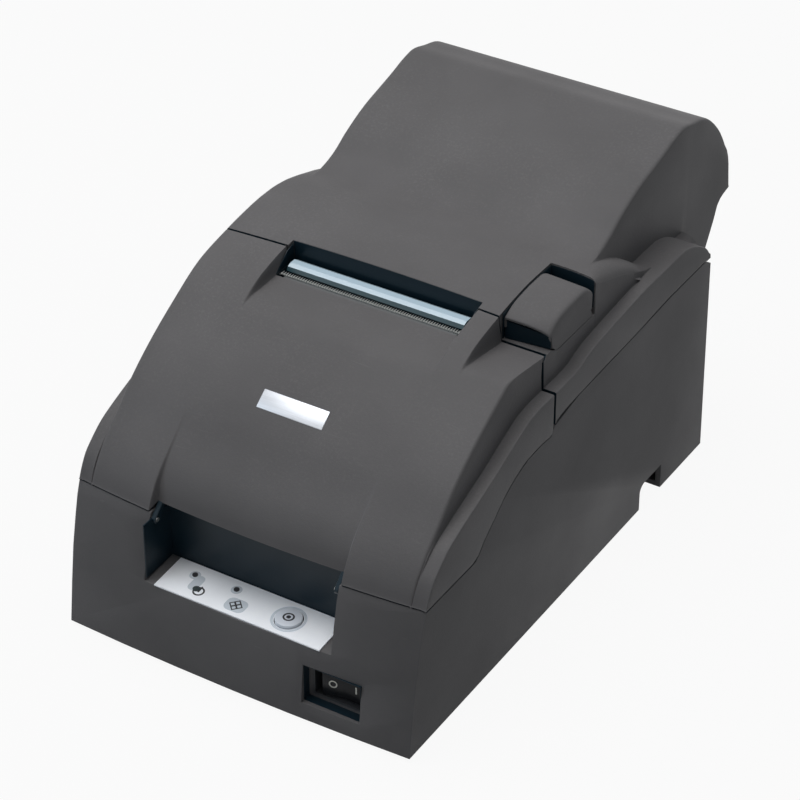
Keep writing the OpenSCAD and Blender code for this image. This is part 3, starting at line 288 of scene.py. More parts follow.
def plastic(name, color, roughness, grains=2400.0, depth=0.00004, scratches=0.5, wear=0.4, dust=0.2,
            worn=None, **constants):
    """Moulded plastic: mould grain, slow shade changes, polished edges, scratches and dust."""
    material, tree, shader = start_material(name, roughness, **constants)
    grain = place_group(tree, GRAIN, {0: grains, 1: scratches})
    worn = worn or tuple(min(1, c * 1.5 + 0.02) for c in color)
    base = tinted(tree, color, grain["Shade"])
    edge = place_group(tree, WEAR, {0: wear})["Mask"]
    base = over(tree, base, math_node(tree, "MULTIPLY", edge, 0.5), worn)
    base = over(tree, base, math_node(tree, "MULTIPLY", grain["Scratch"], 0.35), worn)
    lying = place_group(tree, DUST, {0: dust})["Mask"]
    base = over(tree, base, math_node(tree, "MULTIPLY", lying, 0.25), (0.55, 0.54, 0.52))
    tree.links.new(base, shader.inputs["Base Color"])
    polished = math_node(tree, "MULTIPLY", edge, -0.12)
    gloss = ramp(tree, grain["Shade"], 0.93, 1.07, roughness + 0.04, roughness - 0.04)
    gloss = math_node(tree, "ADD", gloss, polished)
    gloss = math_node(tree, "ADD", gloss, math_node(tree, "MULTIPLY", lying, 0.15), True)
    tree.links.new(gloss, shader.inputs["Roughness"])
    bump(tree, shader, grain["Height"], depth)
    return material


def metal(name, color, roughness, along="x", depth=0.00001, stain=0.3):
    """Bare or plated metal with lines along one axis, and faint stains."""
    material, tree, shader = start_material(name, roughness, 1.0)
    lines = place_group(tree, LINES, {k: 60.0 if axis == along else 2200.0 for k, axis in enumerate("xyz")})
    base = tinted(tree, color, lines["Shade"])
    stained = tuple(c * 0.62 for c in color)
    spots = math_node(tree, "MULTIPLY", lines["Stain"], stain)
    base = over(tree, base, spots, stained)
    edge = place_group(tree, WEAR, {0: 0.5})["Mask"]
    base = over(tree, base, edge, tuple(min(1, c * 1.15) for c in color))
    tree.links.new(base, shader.inputs["Base Color"])
    gloss = ramp(tree, lines["Height"], 0.3, 0.7, roughness - 0.05, roughness + 0.07)
    gloss = math_node(tree, "ADD", gloss, math_node(tree, "MULTIPLY", spots, 0.3), True)
    tree.links.new(gloss, shader.inputs["Roughness"])
    bump(tree, shader, lines["Height"], depth)
    return material


def board_laminate(name):
    """Green solder mask over copper tracks, with bare pads."""
    material, tree, shader = start_material(name, 0.32, coat_weight=0.3)
    place = add(tree, "ShaderNodeTexCoord").outputs["Object"]
    tracks = add(tree, "ShaderNodeTexBrick", {"Vector": place, "Scale": 130.0, "Mortar Size": 0.08,
                                              "Brick Width": 1.7, "Row Height": 0.55})
    raised = tracks.outputs["Fac"]
    grain = place_group(tree, GRAIN, {0: 5000.0, 1: 0.2})
    base = tinted(tree, (0.012, 0.105, 0.045), grain["Shade"])
    base = over(tree, base, raised, (0.02, 0.19, 0.075))
    vias = add(tree, "ShaderNodeTexVoronoi", {"Scale": 210.0, "Vector": place}).outputs[0]
    pads = ramp(tree, vias, 0.16, 0.12)
    base = over(tree, base, pads, (0.70, 0.70, 0.68))
    tree.links.new(base, shader.inputs["Base Color"])
    tree.links.new(math_node(tree, "MULTIPLY", pads, 0.9), shader.inputs["Metallic"])
    tree.links.new(ramp(tree, grain["Shade"], 0.93, 1.07, 0.38, 0.28), shader.inputs["Roughness"])
    bump(tree, shader, math_node(tree, "ADD", raised, pads), 0.00006)
    return material


def inked_ribbon(name):
    """Tightly woven nylon soaked with ink."""
    material, tree, shader = start_material(name, 0.6)
    thread = add(tree, "ShaderNodeTexWave", {"Vector": stretched(tree, (1, 1, 1)), "Scale": 900.0},
                 bands_direction="X").outputs[1]
    weft = add(tree, "ShaderNodeTexWave", {"Vector": stretched(tree, (1, 1, 1)), "Scale": 900.0},
               bands_direction="Z").outputs[1]
    weave = math_node(tree, "MULTIPLY", thread, weft)
    base = over(tree, tinted(tree, (0.03, 0.018, 0.06), weave), 0.35, (0.012, 0.01, 0.02))
    tree.links.new(base, shader.inputs["Base Color"])
    tree.links.new(ramp(tree, weave, 0, 1, 0.7, 0.45), shader.inputs["Roughness"])
    bump(tree, shader, weave, 0.00008)
    return material


def guide_plastic(name):
    """Clear blue-grey plastic with painted highlight and shade: faces that look up are coloured light, the
    rest dark teal.
    """
    material, tree, shader = start_material(name, 0.22)
    facing = add(tree, "ShaderNodeNewGeometry").outputs["Normal"]
    up = add(tree, "ShaderNodeSeparateXYZ", {0: facing}).outputs[2]
    grain = place_group(tree, GRAIN, {0: 2400.0, 1: 0.3})
    # painted highlight and shade: the colour goes from dark teal to light blue-grey as the face turns upwards
    base = over(tree, tinted(tree, (0.035, 0.075, 0.090), grain["Shade"]), ramp(tree, up, 0.62, 0.96),
                (0.42, 0.54, 0.62))
    tree.links.new(base, shader.inputs["Base Color"])
    tree.links.new(ramp(tree, grain["Shade"], 0.93, 1.07, 0.26, 0.18), shader.inputs["Roughness"])
    bump(tree, shader, grain["Height"], 0.00001)
    return material


MATERIALS = {
    "case_plastic": plastic("case_plastic", (0.104, 0.101, 0.103), 0.55, depth=0.00005,
                            specular_ior_level=0.12),
    # painted shade: near-black teal for the dark sheets put in the recess, the wells, the seams and the
    # paper's exit
    "painted_shade": plastic("painted_shade", (0.007, 0.018, 0.027), 0.35, depth=0.00002, scratches=0.0,
                             wear=0.0, dust=0.0, specular_ior_level=0.2),
    "badge_metal": metal("badge_metal", (0.42, 0.44, 0.47), 0.42, stain=0.05),
    "dark_plastic": plastic("dark_plastic", (0.036, 0.038, 0.042), 0.42),
    "rocker_plastic": plastic("rocker_plastic", (0.008, 0.009, 0.011), 0.30, depth=0.000008, dust=0.0,
                              specular_ior_level=0.15),
    "label_film": plastic("label_film", (0.92, 0.945, 0.98), 0.34, depth=0.000012, wear=0.1,
                          worn=(0.8, 0.84, 0.88)),
    "window_plastic": plastic("window_plastic", (0.045, 0.060, 0.062), 0.16, depth=0.00001),
    "tear_plastic": plastic("tear_plastic", (0.080, 0.086, 0.088), 0.40, depth=0.00002),
    "tooth_tips": plastic("tooth_tips", (0.30, 0.31, 0.30), 0.34, depth=0.00001),
    "print_grey": plastic("print_grey", (0.55, 0.60, 0.65), 0.36, depth=0.00001),
    "button_plastic": plastic("button_plastic", (0.66, 0.70, 0.76), 0.36, depth=0.00002),
    "board_laminate": board_laminate("board_laminate"),
    "component_black": plastic("component_black", (0.022, 0.022, 0.025), 0.45),
    "rubber": plastic("rubber", (0.018, 0.018, 0.018), 0.72, grains=1500.0, depth=0.00008),
    "roller_rubber": plastic("roller_rubber", (0.03, 0.03, 0.033), 0.66, grains=3800.0, depth=0.00004),
    "screw_steel": metal("screw_steel", (0.62, 0.62, 0.60), 0.30, stain=0.5),
    "sheet_steel": metal("sheet_steel", (0.66, 0.67, 0.68), 0.36, "y", stain=0.35),
    "polished_steel": metal("polished_steel", (0.74, 0.75, 0.77), 0.14, stain=0.1),
    "motor_metal": metal("motor_metal", (0.56, 0.57, 0.58), 0.40, "z", stain=0.3),
    "head_aluminium": metal("head_aluminium", (0.60, 0.61, 0.62), 0.45, "z", depth=0.00003),
    "pinion_brass": metal("pinion_brass", (0.78, 0.60, 0.28), 0.28, stain=0.4),
    "gear_plastic": plastic("gear_plastic", (0.70, 0.68, 0.60), 0.42),
    "ribbon_fabric": inked_ribbon("ribbon_fabric"),
    "knob_plastic": plastic("knob_plastic", (0.03, 0.10, 0.30), 0.35),
    "platen_plastic": plastic("platen_plastic", (0.06, 0.063, 0.07), 0.5),
    "guide_plastic": guide_plastic("guide_plastic"),
}


def dress(node):
    """A CAD node that keeps its shape gets its slot's material."""
    for place in NODES[node].material_slots:
        place.link = "OBJECT"
        place.material = MATERIALS["tear_plastic" if node == "tear_bar" else SLOT_OF[node]]


for node in NODES:
    dress(node)


# ---------- pieces of their own ----------

def finish_piece(piece, node, slot=None):
    """piece rides on a CAD node's body and takes that node's finish, or another slot's."""
    slot = slot or SLOT_OF[node]
    if not piece.data.materials:
        piece.data.materials.append(MATERIALS[slot])
    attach(piece, BODY_OF[node])
    return piece


def evaluated(piece):
    """Puts the result of the piece's modifiers in its mesh."""
    bpy.context.view_layer.update()
    mesh = bpy.data.meshes.new_from_object(piece.evaluated_get(bpy.context.evaluated_depsgraph_get()))
    piece.modifiers.clear()
    piece.data = mesh
    return piece


def shaded(piece, smooth=35):
    """Smooth shading, with edges sharper than smooth degrees kept sharp."""
    piece.data.shade_smooth()
    piece.data.set_sharp_from_angle(angle=math.radians(smooth))
    return piece


def piece_from(work, name):
    """An object from a bmesh, with its normals outwards."""
    bmesh.ops.recalc_face_normals(work, faces=work.faces)
    highest = max(work.faces, key=lambda face: face.calc_center_median().z)
    if highest.normal.z < 0:
        bmesh.ops.reverse_faces(work, faces=work.faces)
    mesh = bpy.data.meshes.new(name)
    work.to_mesh(mesh)
    work.free()
    piece = bpy.data.objects.new(name, mesh)
    bpy.context.scene.collection.objects.link(piece)
    return piece


def softened(node, radius, below=None):
    """A copy of a CAD node with its triangles joined and its sharp edges rounded, cut off at z below."""
    mesh = NODES[node].data.copy()
    work = bmesh.new()
    work.from_mesh(mesh)
    bmesh.ops.remove_doubles(work, verts=work.verts, dist=0.000002)
    if below is not None:
        everything = work.verts[:] + work.edges[:] + work.faces[:]
        cut = bmesh.ops.bisect_plane(work, geom=everything, plane_co=(0, 0, (below + FOOT) * MM),
                                     plane_no=(0, 0, 1), clear_outer=True)
        rim = [part for part in cut["geom_cut"] if isinstance(part, bmesh.types.BMEdge)]
        bmesh.ops.edgenet_fill(work, edges=rim)
    bmesh.ops.dissolve_limit(work, angle_limit=math.radians(0.6), verts=work.verts, edges=work.edges)
    work.to_mesh(mesh)
    work.free()
    mesh.materials.clear()
    piece = bpy.data.objects.new(node + "_piece", mesh)
    bpy.context.scene.collection.objects.link(piece)
    rounding = piece.modifiers.new("rounding", "BEVEL")
    rounding.width = radius * MM
    rounding.segments = 2
    rounding.limit_method = "ANGLE"
    rounding.angle_limit = math.radians(28)
    mesh.shade_smooth()
    return shaded(evaluated(piece))


# ---------- the covers, as rows of cross-sections from front to rear ----------
# Here y runs back from the front corners of the case and z up from its lower edge, in mm,
# as in a side view of the printer. to_frame() brings both into the frame.

CASE_FRONT, FOOT = -141.0, 2.0
HALF_W, HUMP_X, BOX_X = 80.0, 73.8, 66.0


def held(value, low, high):
    """0 below low, 1 above high, and straight between them."""
    return np.clip((value - low) / (high - low), 0.0, 1.0)


def step(value, low, high):
    """0 below low, 1 above high, and a smooth S between them."""
    t = held(value, low, high)
    return t * t * (3 - 2 * t)


def outline(*points):
    """z over y as a smooth curve that never overshoots its points."""
    ys, zs = np.array(points, float).T
    gaps = np.diff(ys)
    slopes = np.diff(zs) / gaps
    lean = np.zeros(len(ys))
    lean[0], lean[-1] = slopes[0], slopes[-1]
    for k in range(1, len(ys) - 1):
        before, after = slopes[k - 1], slopes[k]
        if before * after > 0:
            w1, w2 = 2 * gaps[k] + gaps[k - 1], gaps[k] + 2 * gaps[k - 1]
            lean[k] = (w1 + w2) / (w1 / before + w2 / after)

    def height(y):
        y = np.clip(y, ys[0], ys[-1])
        k = np.clip(np.searchsorted(ys, y, side="right") - 1, 0, len(gaps) - 1)
        t = (y - ys[k]) / gaps[k]
        return ((1 + 2 * t) * (1 - t) ** 2 * zs[k] + t * (1 - t) ** 2 * gaps[k] * lean[k]
                + t * t * (3 - 2 * t) * zs[k + 1] + t * t * (t - 1) * gaps[k] * lean[k + 1])
    return height


def lower_of(a, b, soft):
    """The lower of two heights, with the crease between them rounded over soft."""
    share = np.clip(0.5 + 0.5 * (b - a) / soft, 0, 1)
    return b * (1 - share) + a * share - soft * share * (1 - share)


def edge_drop(distance, radius):
    """How far a rounded edge has dropped at a distance inside its corner."""
    t = np.clip((radius - distance) / radius, 0, 0.98)
    return radius * (1 - np.sqrt(1 - t * t))


def crown(x, y):
    """The hump is a little higher in its middle."""
    return 2.5 * held(y, 30, 104) * (1 - (x / HALF_W) ** 2)


def bow(x, y, z):
    """The printer's front is bowed forwards."""
    return (2 + 2.5 * held(z, 0, 62.8)) * (1 - held(y, 30, 109)) * (1 - (x / HALF_W) ** 2)


def to_frame(x, y, z):
    """Places in the frame, in metres, from x, y and z in mm."""
    return np.stack(np.broadcast_arrays(x, y + CASE_FRONT, z + FOOT), -1) * MM


def spread(low, high, count):
    """count values at even distances, both ends among them."""
    return [low + (high - low) * k / (count - 1) for k in range(count)]


def both_sides(columns):
    """The columns, and before them their mirror image."""
    return np.array([-x for x in reversed(columns) if x > 0] + list(columns))


def sheet(name, rows, keep=None, ring=None):
    """A sheet through rows of places. keep(row, x) says which faces stay; ring adds closed rows."""
    work = bmesh.new()
    for block, closed in ((rows, False), (ring or [], True)):
        verts = [[work.verts.new(place) for place in row] for row in block]
        for r in range(len(block) - 1):
            count = len(block[r])
            for c in range(count if closed else count - 1):
                d = (c + 1) % count
                corners = (verts[r][c], verts[r][d], verts[r + 1][d], verts[r + 1][c])
                if keep is None or keep(r, (block[r][c][0] + block[r][d][0]) / 2 / MM):
                    work.faces.new(corners)
    bmesh.ops.remove_doubles(work, verts=work.verts, dist=0.03 * MM)
    bmesh.ops.dissolve_degenerate(work, edges=work.edges, dist=0.01 * MM)
    bmesh.ops.delete(work, geom=[v for v in work.verts if not v.link_faces], context="VERTS")
    return piece_from(work, name)


def walled(piece, thickness):
    """Gives a sheet its wall, on its inner side."""
    wall = piece.modifiers.new("wall", "SOLIDIFY")
    wall.thickness = thickness * MM
    wall.offset = -1
    wall.use_rim = True
    return shaded(evaluated(piece), 40)


hump_side = outline((12, 63.3), (14.2, 68.4), (17.6, 74), (22.1, 79.4), (27.5, 84.4), (33.6, 90),
                    (40.7, 97), (52.7, 106), (69.4, 116), (91.5, 126.5), (108.5, 129.8), (118.5, 131.3),
                    (134, 132.6), (150, 132.4), (158.5, 131.4), (163.7, 130.2), (170.4, 128.2),
                    (178, 125.0), (189, 118), (197.2, 111), (206, 105))
shoulder_side = outline((12, 63.3), (13.9, 68.6), (17.6, 73.8), (22.4, 78), (28, 82), (38, 86.3),
                        (49.3, 90.3), (62, 94.7), (80, 102), (89, 105), (98, 105.9), (107, 105.7),
                        (125, 106), (136, 109.3), (150, 111), (165, 112.2), (180, 113.2), (195, 113.4),
                        (215, 113.2), (222, 111.5), (227, 109.3), (232, 106.3), (236, 103.3), (239.5, 98.9))
front_edge = outline((12, 63.55), (47.7, 63.6), (50.9, 65.7), (54.6, 69.5), (61.6, 74.5), (68.5, 79.9),
                     (77.4, 84.5), (87.2, 87.3), (97.3, 87.8), (104.8, 87.2), (107.4, 90.7))
rear_edge = outline((107.9, 90.9), (109.5, 92.2), (127, 94.1), (144.5, 94.8), (174.5, 95.8), (205.5, 97.4),
                    (235, 97.5), (236.6, 96.7))
exit_floor = outline((60, 123.6), (81, 122.9), (98, 123.2), (112, 123.5))
scoop_floor = outline((60, 124.2), (82, 123.4), (88, 122.9), (98, 121.5), (109, 119.8), (120, 119.3))
box_side = outline((150, 131.4), (158, 131.1), (163, 131.2), (166.5, 131.9), (170, 133.0), (178, 136.4),
                   (184, 140), (200.6, 146.7), (212, 149.5), (221.3, 151.7), (231.5, 154.5), (237.7, 155.4),
                   (249, 152.8), (255.7, 151.2), (261, 148.5), (270.7, 139.8), (278.7, 128.1), (283.5, 116.8),
                   (284, 105))
box_under = outline((241.9, 61.2), (251, 61.3), (264.9, 85.3), (270.3, 94), (274.6, 102), (279.8, 103.9),
                    (284, 104.6))

# the last columns on each side: the shoulder's rounded edge, then the side wall down to its lower edge
SIDE_X = np.array([79.3, 79.55, 79.75, 79.88, 79.97, 80.0, 80.0, 80.0])
SIDE_DROP = np.array([0.0, 0.04, 0.13, 0.26, 0.44, 0.7, 0.7, 0.7])
SIDE_SHARE = np.array([0, 0, 0, 0, 0, 0, 0.5, 1.0])


def with_sides(x, y, z, edge):
    """A row of places with both side walls added, down to z edge."""
    side_z = np.maximum(z[-1] - SIDE_DROP, edge) * (1 - SIDE_SHARE) + edge * SIDE_SHARE
    side_y = np.full(len(SIDE_X), y[-1])
    return to_frame(np.concatenate([-SIDE_X[::-1], x, SIDE_X]), np.concatenate([side_y, y, side_y]),
                    np.concatenate([side_z[::-1], z, side_z]))


# what both covers share: their wall and rounded edges, and how far from the middle their forms end
SHELL_WALL, HUMP_RADIUS, BOX_RADIUS = 2.2, 1.2, 1.8
EXIT_EDGE, SHOULDER_EDGE, BOX_WALL = (43.2, 44.4), (73.7, 74.3), (65.3, 66.0)
HUMP_END = 73.9
EXIT_COLUMNS = spread(*EXIT_EDGE, 7)
HUMP_COLUMNS = [72.2, 72.6, 72.9, 73.2, 73.4, 73.6, 73.7, 74.0, 74.3, 74.5, 75.4, 77.2]


def hump_edge(beside, radius):
    """How far the hump's rounded side edge has dropped."""
    return edge_drop(HUMP_X - 0.1 - beside, radius) * (beside < HUMP_X)


def box_edge(beside):
    """How far the take-up box's rounded side edge has dropped."""
    return edge_drop(BOX_X - 0.4 - beside, BOX_RADIUS)


def under_hump(x, y, depth):
    """z at a depth below the hump's top."""
    return hump_side(y) + crown(x, y) - depth


BROW_LOW, BROW_TOP, BROW_DEPTH = 65.4, 100.0, 5.2
CASE_TOP, EXIT_START, EXIT_SIDE, FRONT_END, SHOULDER_FRONT = 63.3, 99.6, 43.3, 108.4, 106.4
SCOOP_EDGE, SCOOP_REACH = (53.4, 54.6), 0.8
FRONT_ROWS = [12, 12.3, 12.7, 13.3, 14, 15, 16, 17.2, 18.6, 20.2, 22, 24, 26.2, 28.8, 31.6, 34.6, 38, 42, 46,
              50, 54, 58, 62, 65.5, 68.5, 71, 73, 75, 77, 79, 81, 83, 85, 87, 89, 91.5, 94, 96.5, 98.6, 99.6,
              102, 105, 107.3, 108.4]
FRONT_COLUMNS = both_sides([0, 8, 16, 24, 31, 36, 40, 42.4] + EXIT_COLUMNS + [45.2, 47, 50, 52.4]
                           + spread(53.2, 54.8, 9) + [57, 61, 65, 68, 70.5, 71.6] + HUMP_COLUMNS)


def front_cover_row(y_row):
    """One cross-section: brow over the panel, paper's exit, lever's scoop and both shoulders."""
    x = FRONT_COLUMNS
    beside = np.abs(x)
    middle = 1 - step(beside, *EXIT_EDGE)
    # the rear edge lies a little further back at the scoop, and further forward at the shoulders
    end = FRONT_END + SCOOP_REACH * step(x, 53.8, 54.2)
    end = end + (SHOULDER_FRONT - end) * step(beside, 73.4, HUMP_END)
    share = (y_row - EXIT_START) / (FRONT_END - EXIT_START)
    y = np.where(y_row > EXIT_START, EXIT_START + share * (end - EXIT_START), y_row)
    hump = hump_side(y)
    lifted = BROW_LOW + (hump - CASE_TOP) * (BROW_TOP - BROW_LOW) / (BROW_TOP - CASE_TOP)
    z = np.where(hump < BROW_TOP, hump * (1 - middle) + lifted * middle, hump)
    back = BROW_DEPTH * (1 - held(z, BROW_LOW, BROW_TOP)) ** 1.3 * middle
    z = z + crown(x, y) - hump_edge(beside, HUMP_RADIUS)
    z = z * (1 - middle) + lower_of(z, exit_floor(y), 3.0) * middle
    scoop = step(x, *SCOOP_EDGE)
    z = z * (1 - scoop) + lower_of(z, scoop_floor(y), 1.0) * scoop
    side = held(beside, *SHOULDER_EDGE)
    shoulder = shoulder_side(y)
    z = np.maximum(z * (1 - side) + np.minimum(shoulder, z) * side, front_edge(12) + 0.02)
    return with_sides(x, y + back - bow(x, y, z), z, front_edge(y[-1]))


def make_front_cover():
    """The front cover, open behind EXIT_START where the paper comes out."""
    rows = [front_cover_row(y) for y in FRONT_ROWS]
    last = FRONT_ROWS.index(EXIT_START)
    piece = sheet("front_cover_shell", rows, lambda row, x: row < last or abs(x) > EXIT_SIDE)
    return walled(piece, SHELL_WALL)


LIP_X, LIP_Y, LIP_FOOT = 43.9, 112.8, 114.5
POCKET_EDGE, POCKET_START, POCKET_END, POCKET_Z = (53.3, 53.6), 110.9, 148.9, 117.2
SHOULDER_LEAD, SHOULDER_END, TAIL_Y, BOX_REAR, BOX_LOW = 1.3, 240.2, 241.9, 284.0, 105.0
ROLL_ROWS = ([109.4, 109.5, 109.8, 111, 112.9, 114.2, 116, 119, 123, 128, 133, 138, 142, 145, 147]
             + spread(148.4, 150.6, 12) + list(range(152, 172, 2)) + [172, 175, 178, 181, 184]
             + list(range(188, 224, 4)) + [223.5, 226.5, 229, 231.5, 233.5, 235.5, 237, 238.2, 239.2, 239.9])
ROLL_COLUMNS = both_sides([0, 8, 16, 24, 32, 38, 42] + EXIT_COLUMNS + [46, 49, 52.0] + spread(*POCKET_EDGE, 4)
                          + [56, 59, 61.5, 63, 63.8, 64.4] + spread(64.9, 66.0, 6)
                          + [66.5, 67.5, 68.6, 70, 71.2] + HUMP_COLUMNS)


def roll_top(x, y):
    """The roll cover's top, without the lever's pocket."""
    beside = np.abs(x)
    radius = HUMP_RADIUS + 5.0 * step(y, 140, 165)
    hump = hump_side(y) + crown(x, y) * (1 - step(y, 150, 200))
    hump = hump - hump_edge(beside, radius)
    box = box_side(y) + crown(x, y) * (1 - step(y, 156, 190))
    box = box - box_edge(beside) * step(y, 160, 176)
    wall = (1 - step(beside, *BOX_WALL)) * step(y, 150, 166)
    top = hump * (1 - wall) + np.maximum(box, hump) * wall
    side = held(beside, *SHOULDER_EDGE)
    shoulder = shoulder_side(y)
    return np.maximum(top * (1 - side) + shoulder * side, shoulder)


def pocket_bend(x):
    """The pocket's rear wall is bowed to the rear."""
    return 0.9 * (1 - ((x - 63) / 11.0) ** 2)


def pocket_floor(y):
    """The lever's pocket goes on from the scoop, then drops under the lever."""
    return POCKET_Z + 2.4 * (1 - step(y, 114.8, 117.5))


def roll_cover_row(y_row):
    """One cross-section, with the lip behind the paper's exit and the lever's pocket."""
    x = ROLL_COLUMNS
    beside = np.abs(x)
    exit_part = beside < LIP_X
    pocket = step(x, *POCKET_EDGE)
    y = np.full(len(x), float(y_row))
    y = np.where(exit_part, np.maximum(y, LIP_Y), y)
    y = np.where((x > sum(POCKET_EDGE) / 2) & (x < HUMP_END), np.maximum(y, POCKET_START), y)
    if y_row < 112:
        y = np.where(beside > HUMP_END, y - SHOULDER_LEAD, y)
    z = roll_top(x, y)
    inside = pocket * (1 - step(y - pocket_bend(x), POCKET_END - 0.3, POCKET_END + 0.3))
    z = z * (1 - inside) + np.minimum(z, pocket_floor(y)) * inside
    if y_row == ROLL_ROWS[0]:
        z = np.where(exit_part, LIP_FOOT, z)
    return with_sides(x, y, z, rear_edge(y[-1]))


def box_rows(inside_x, first):
    """Closed rows of the take-up box behind the case; first is the top of the row it starts from."""
    low = np.array([60.0, 20.0, -20.0, -60.0])
    beside = np.abs(inside_x)
    share = 1 - step(beside, *BOX_WALL)
    rows = []
    for y in [TAIL_Y, 243, 245, 248, 251, 253, 255.7, 258.5, 261, 264, 267.5, 270.7, 273.5, 276.3, 278.7, 281,
              282.6, 283.5, BOX_REAR]:
        under = BOX_LOW if y == BOX_REAR else float(box_under(y))
        high = BOX_LOW if y == BOX_REAR else float(box_side(y))
        top = high - box_edge(beside) * (high > under + 4)
        top = np.maximum(top, under) * share + max(under, min(96.0, high)) * (1 - share)
        if y == TAIL_Y:
            top = first
        rows.append(to_frame(np.concatenate([inside_x, [BOX_X], low, [-BOX_X]]), y,
                             np.concatenate([top, [under], np.full(len(low), under), [under]])))
    return rows


def make_roll_cover():
    """The rear cover: behind the shoulders it drops to the case, and the take-up box goes on."""
    rows = [roll_cover_row(y) for y in ROLL_ROWS]
    last = rows[-1].copy()
    outside = np.abs(last[:, 0]) > (BOX_X + 0.1) * MM
    inside_x = last[~outside, 0] / MM
    last[outside] = to_frame(last[outside, 0] / MM, SHOULDER_END, rear_edge(236.6))
    last[~outside] = to_frame(inside_x, TAIL_Y, roll_top(inside_x, TAIL_Y))
    rows.append(last)
    ring = box_rows(inside_x, last[~outside, 2] / MM - FOOT)
    return walled(sheet("roll_cover_shell", rows, ring=ring), SHELL_WALL)


def lever_top(x, y):
    """The lever's top: level with the hump round it, and falling away at both ends."""
    return under_hump(x, y, 0.2) - 2.0 * (1 - held(y, 112, 121)) ** 1.6 - 3.9 * held(y, 140, 147) ** 2


def make_lever():
    """The release lever's cap, flush with the hump's outer wall; drop is how far each column hangs."""
    left, right = 54.0, 73.7
    columns = np.array([left, left, 54.1, 54.4, 55.0, 57, 60, 64, 67, 69.5, 71.2, 72.2, 73.0, 73.5,
                        right, right, right])
    drop = np.array([9.0, 0.5, 0.25, 0.1, 0, 0, 0, 0, 0, 0, 0.02, 0.1, 0.3, 0.7, 1.3, 0, 0])
    corner = held(columns, 62, right) ** 2
    places = [112.0, 112.0, 112.1, 112.4, 113.0, 114.0, 115, 116, 117.6, 119.5, 122, 127, 132, 137, 140, 142,
              144, 145.8, 146.4, 146.7, 146.8, 146.8]
    skirt, lip, wall = 6, 1.6, 1.0
    sinks = (1.0, 0.3, 0.15, 0.05, 0.02, 0)
    rows = []
    for k, y in enumerate(places):
        # the first and last rows sink a little, which rounds the cap's ends
        sink = sinks[min(k, len(places) - 1 - k, len(sinks) - 1)]
        top = lever_top(columns, y) - sink - 1.6 * corner * (1 - held(y, 112, 121))
        if k == len(places) - 1:
            top = top - skirt
        low = pocket_floor(y) + 0.15 if y > 113.2 else top[-1] - lip
        z = np.maximum(top - drop, low)
        z[-2], z[-1] = (z[-3] + low) / 2, low
        z[0] = low  # both sides reach down to the pocket's floor
        slant = 1.4 * held(columns, left, right) * (1 - held(y, 112, 122))
        rows.append(to_frame(columns, y + slant, z))
    return walled(sheet("release_lever_cap", rows), wall)


# ---------- tear strip, panel print, marks, and dark sheets of painted shade ---

def tooth_tree():
    """Geometry Nodes: a row of pointed teeth."""
    tree = bpy.data.node_groups.new("tear_teeth", "GeometryNodeTree")
    sockets = {}
    for label, kind, default in (("Teeth", "NodeSocketInt", 70), ("Pitch", FLOAT, 1.0),
                                 ("Radius", FLOAT, 0.5), ("Depth", FLOAT, 1.0), ("Height", FLOAT, 0.5),
                                 ("Material", "NodeSocketMaterial", None)):
        socket = tree.interface.new_socket(label, in_out="INPUT", socket_type=kind)
        if default is not None:
            socket.default_value = default
        sockets[label] = socket.identifier
    tree.interface.new_socket("Geometry", in_out="OUTPUT", socket_type="NodeSocketGeometry")
    given = add(tree, "NodeGroupInput").outputs
    count = math_node(tree, "SUBTRACT", given["Teeth"], 1.0)
    half = math_node(tree, "MULTIPLY", math_node(tree, "MULTIPLY", count, given["Pitch"]), -0.5)
    start = add(tree, "ShaderNodeCombineXYZ", {0: half}).outputs[0]
    pitch = add(tree, "ShaderNodeCombineXYZ", {0: given["Pitch"]}).outputs[0]
    line = add(tree, "GeometryNodeMeshLine", {"Count": given["Teeth"], "Start Location": start,
                                             "Offset": pitch}).outputs[0]
    tooth = add(tree, "GeometryNodeMeshCone", {"Vertices": 4, "Radius Top": 0.0,
                                              "Radius Bottom": given["Radius"],
                                              "Depth": given["Depth"]}).outputs[0]
    size = add(tree, "ShaderNodeCombineXYZ", {0: 1.0, 1: given["Height"], 2: 1.0}).outputs[0]
    laid = add(tree, "GeometryNodeTransform", {"Geometry": tooth, "Scale": size}).outputs[0]
    row = add(tree, "GeometryNodeInstanceOnPoints", {"Points": line, "Instance": laid,
                                                    "Rotation": (-math.pi / 2, 0, 0)}).outputs[0]
    solid = add(tree, "GeometryNodeRealizeInstances", {0: row}).outputs[0]
    done = add(tree, "GeometryNodeSetMaterial", {"Geometry": solid,
                                                "Material": given["Material"]}).outputs[0]
    add(tree, "NodeGroupOutput", {0: done})
    return tree, sockets


def make_tear_teeth():
    """Fine teeth along the rear edge of the paper's exit."""
    tree, sockets = tooth_tree()
    piece = bpy.data.objects.new("tear_teeth", bpy.data.meshes.new("tear_teeth"))
    bpy.context.scene.collection.objects.link(piece)
    nodes = piece.modifiers.new("teeth", "NODES")
    nodes.node_group = tree
    for label, value in (("Teeth", 76), ("Pitch", 1.12 * MM), ("Radius", 0.6 * MM), ("Depth", 3.0 * MM),
                         ("Height", 0.7), ("Material", MATERIALS["tooth_tips"])):
        nodes[sockets[label]] = value
    evaluated(piece)
    piece.data.transform(Matrix.Translation((0, (100.6 + CASE_FRONT) * MM, (123.35 + FOOT) * MM)))
    return piece


def flat_shape(work, points, place, thickness):
    """A thin printed shape: points in mm, place turns them into places in the frame."""
    low = [work.verts.new(place(a, b, 0)) for a, b in points]
    high = [work.verts.new(place(a, b, thickness)) for a, b in points]
    return low, high


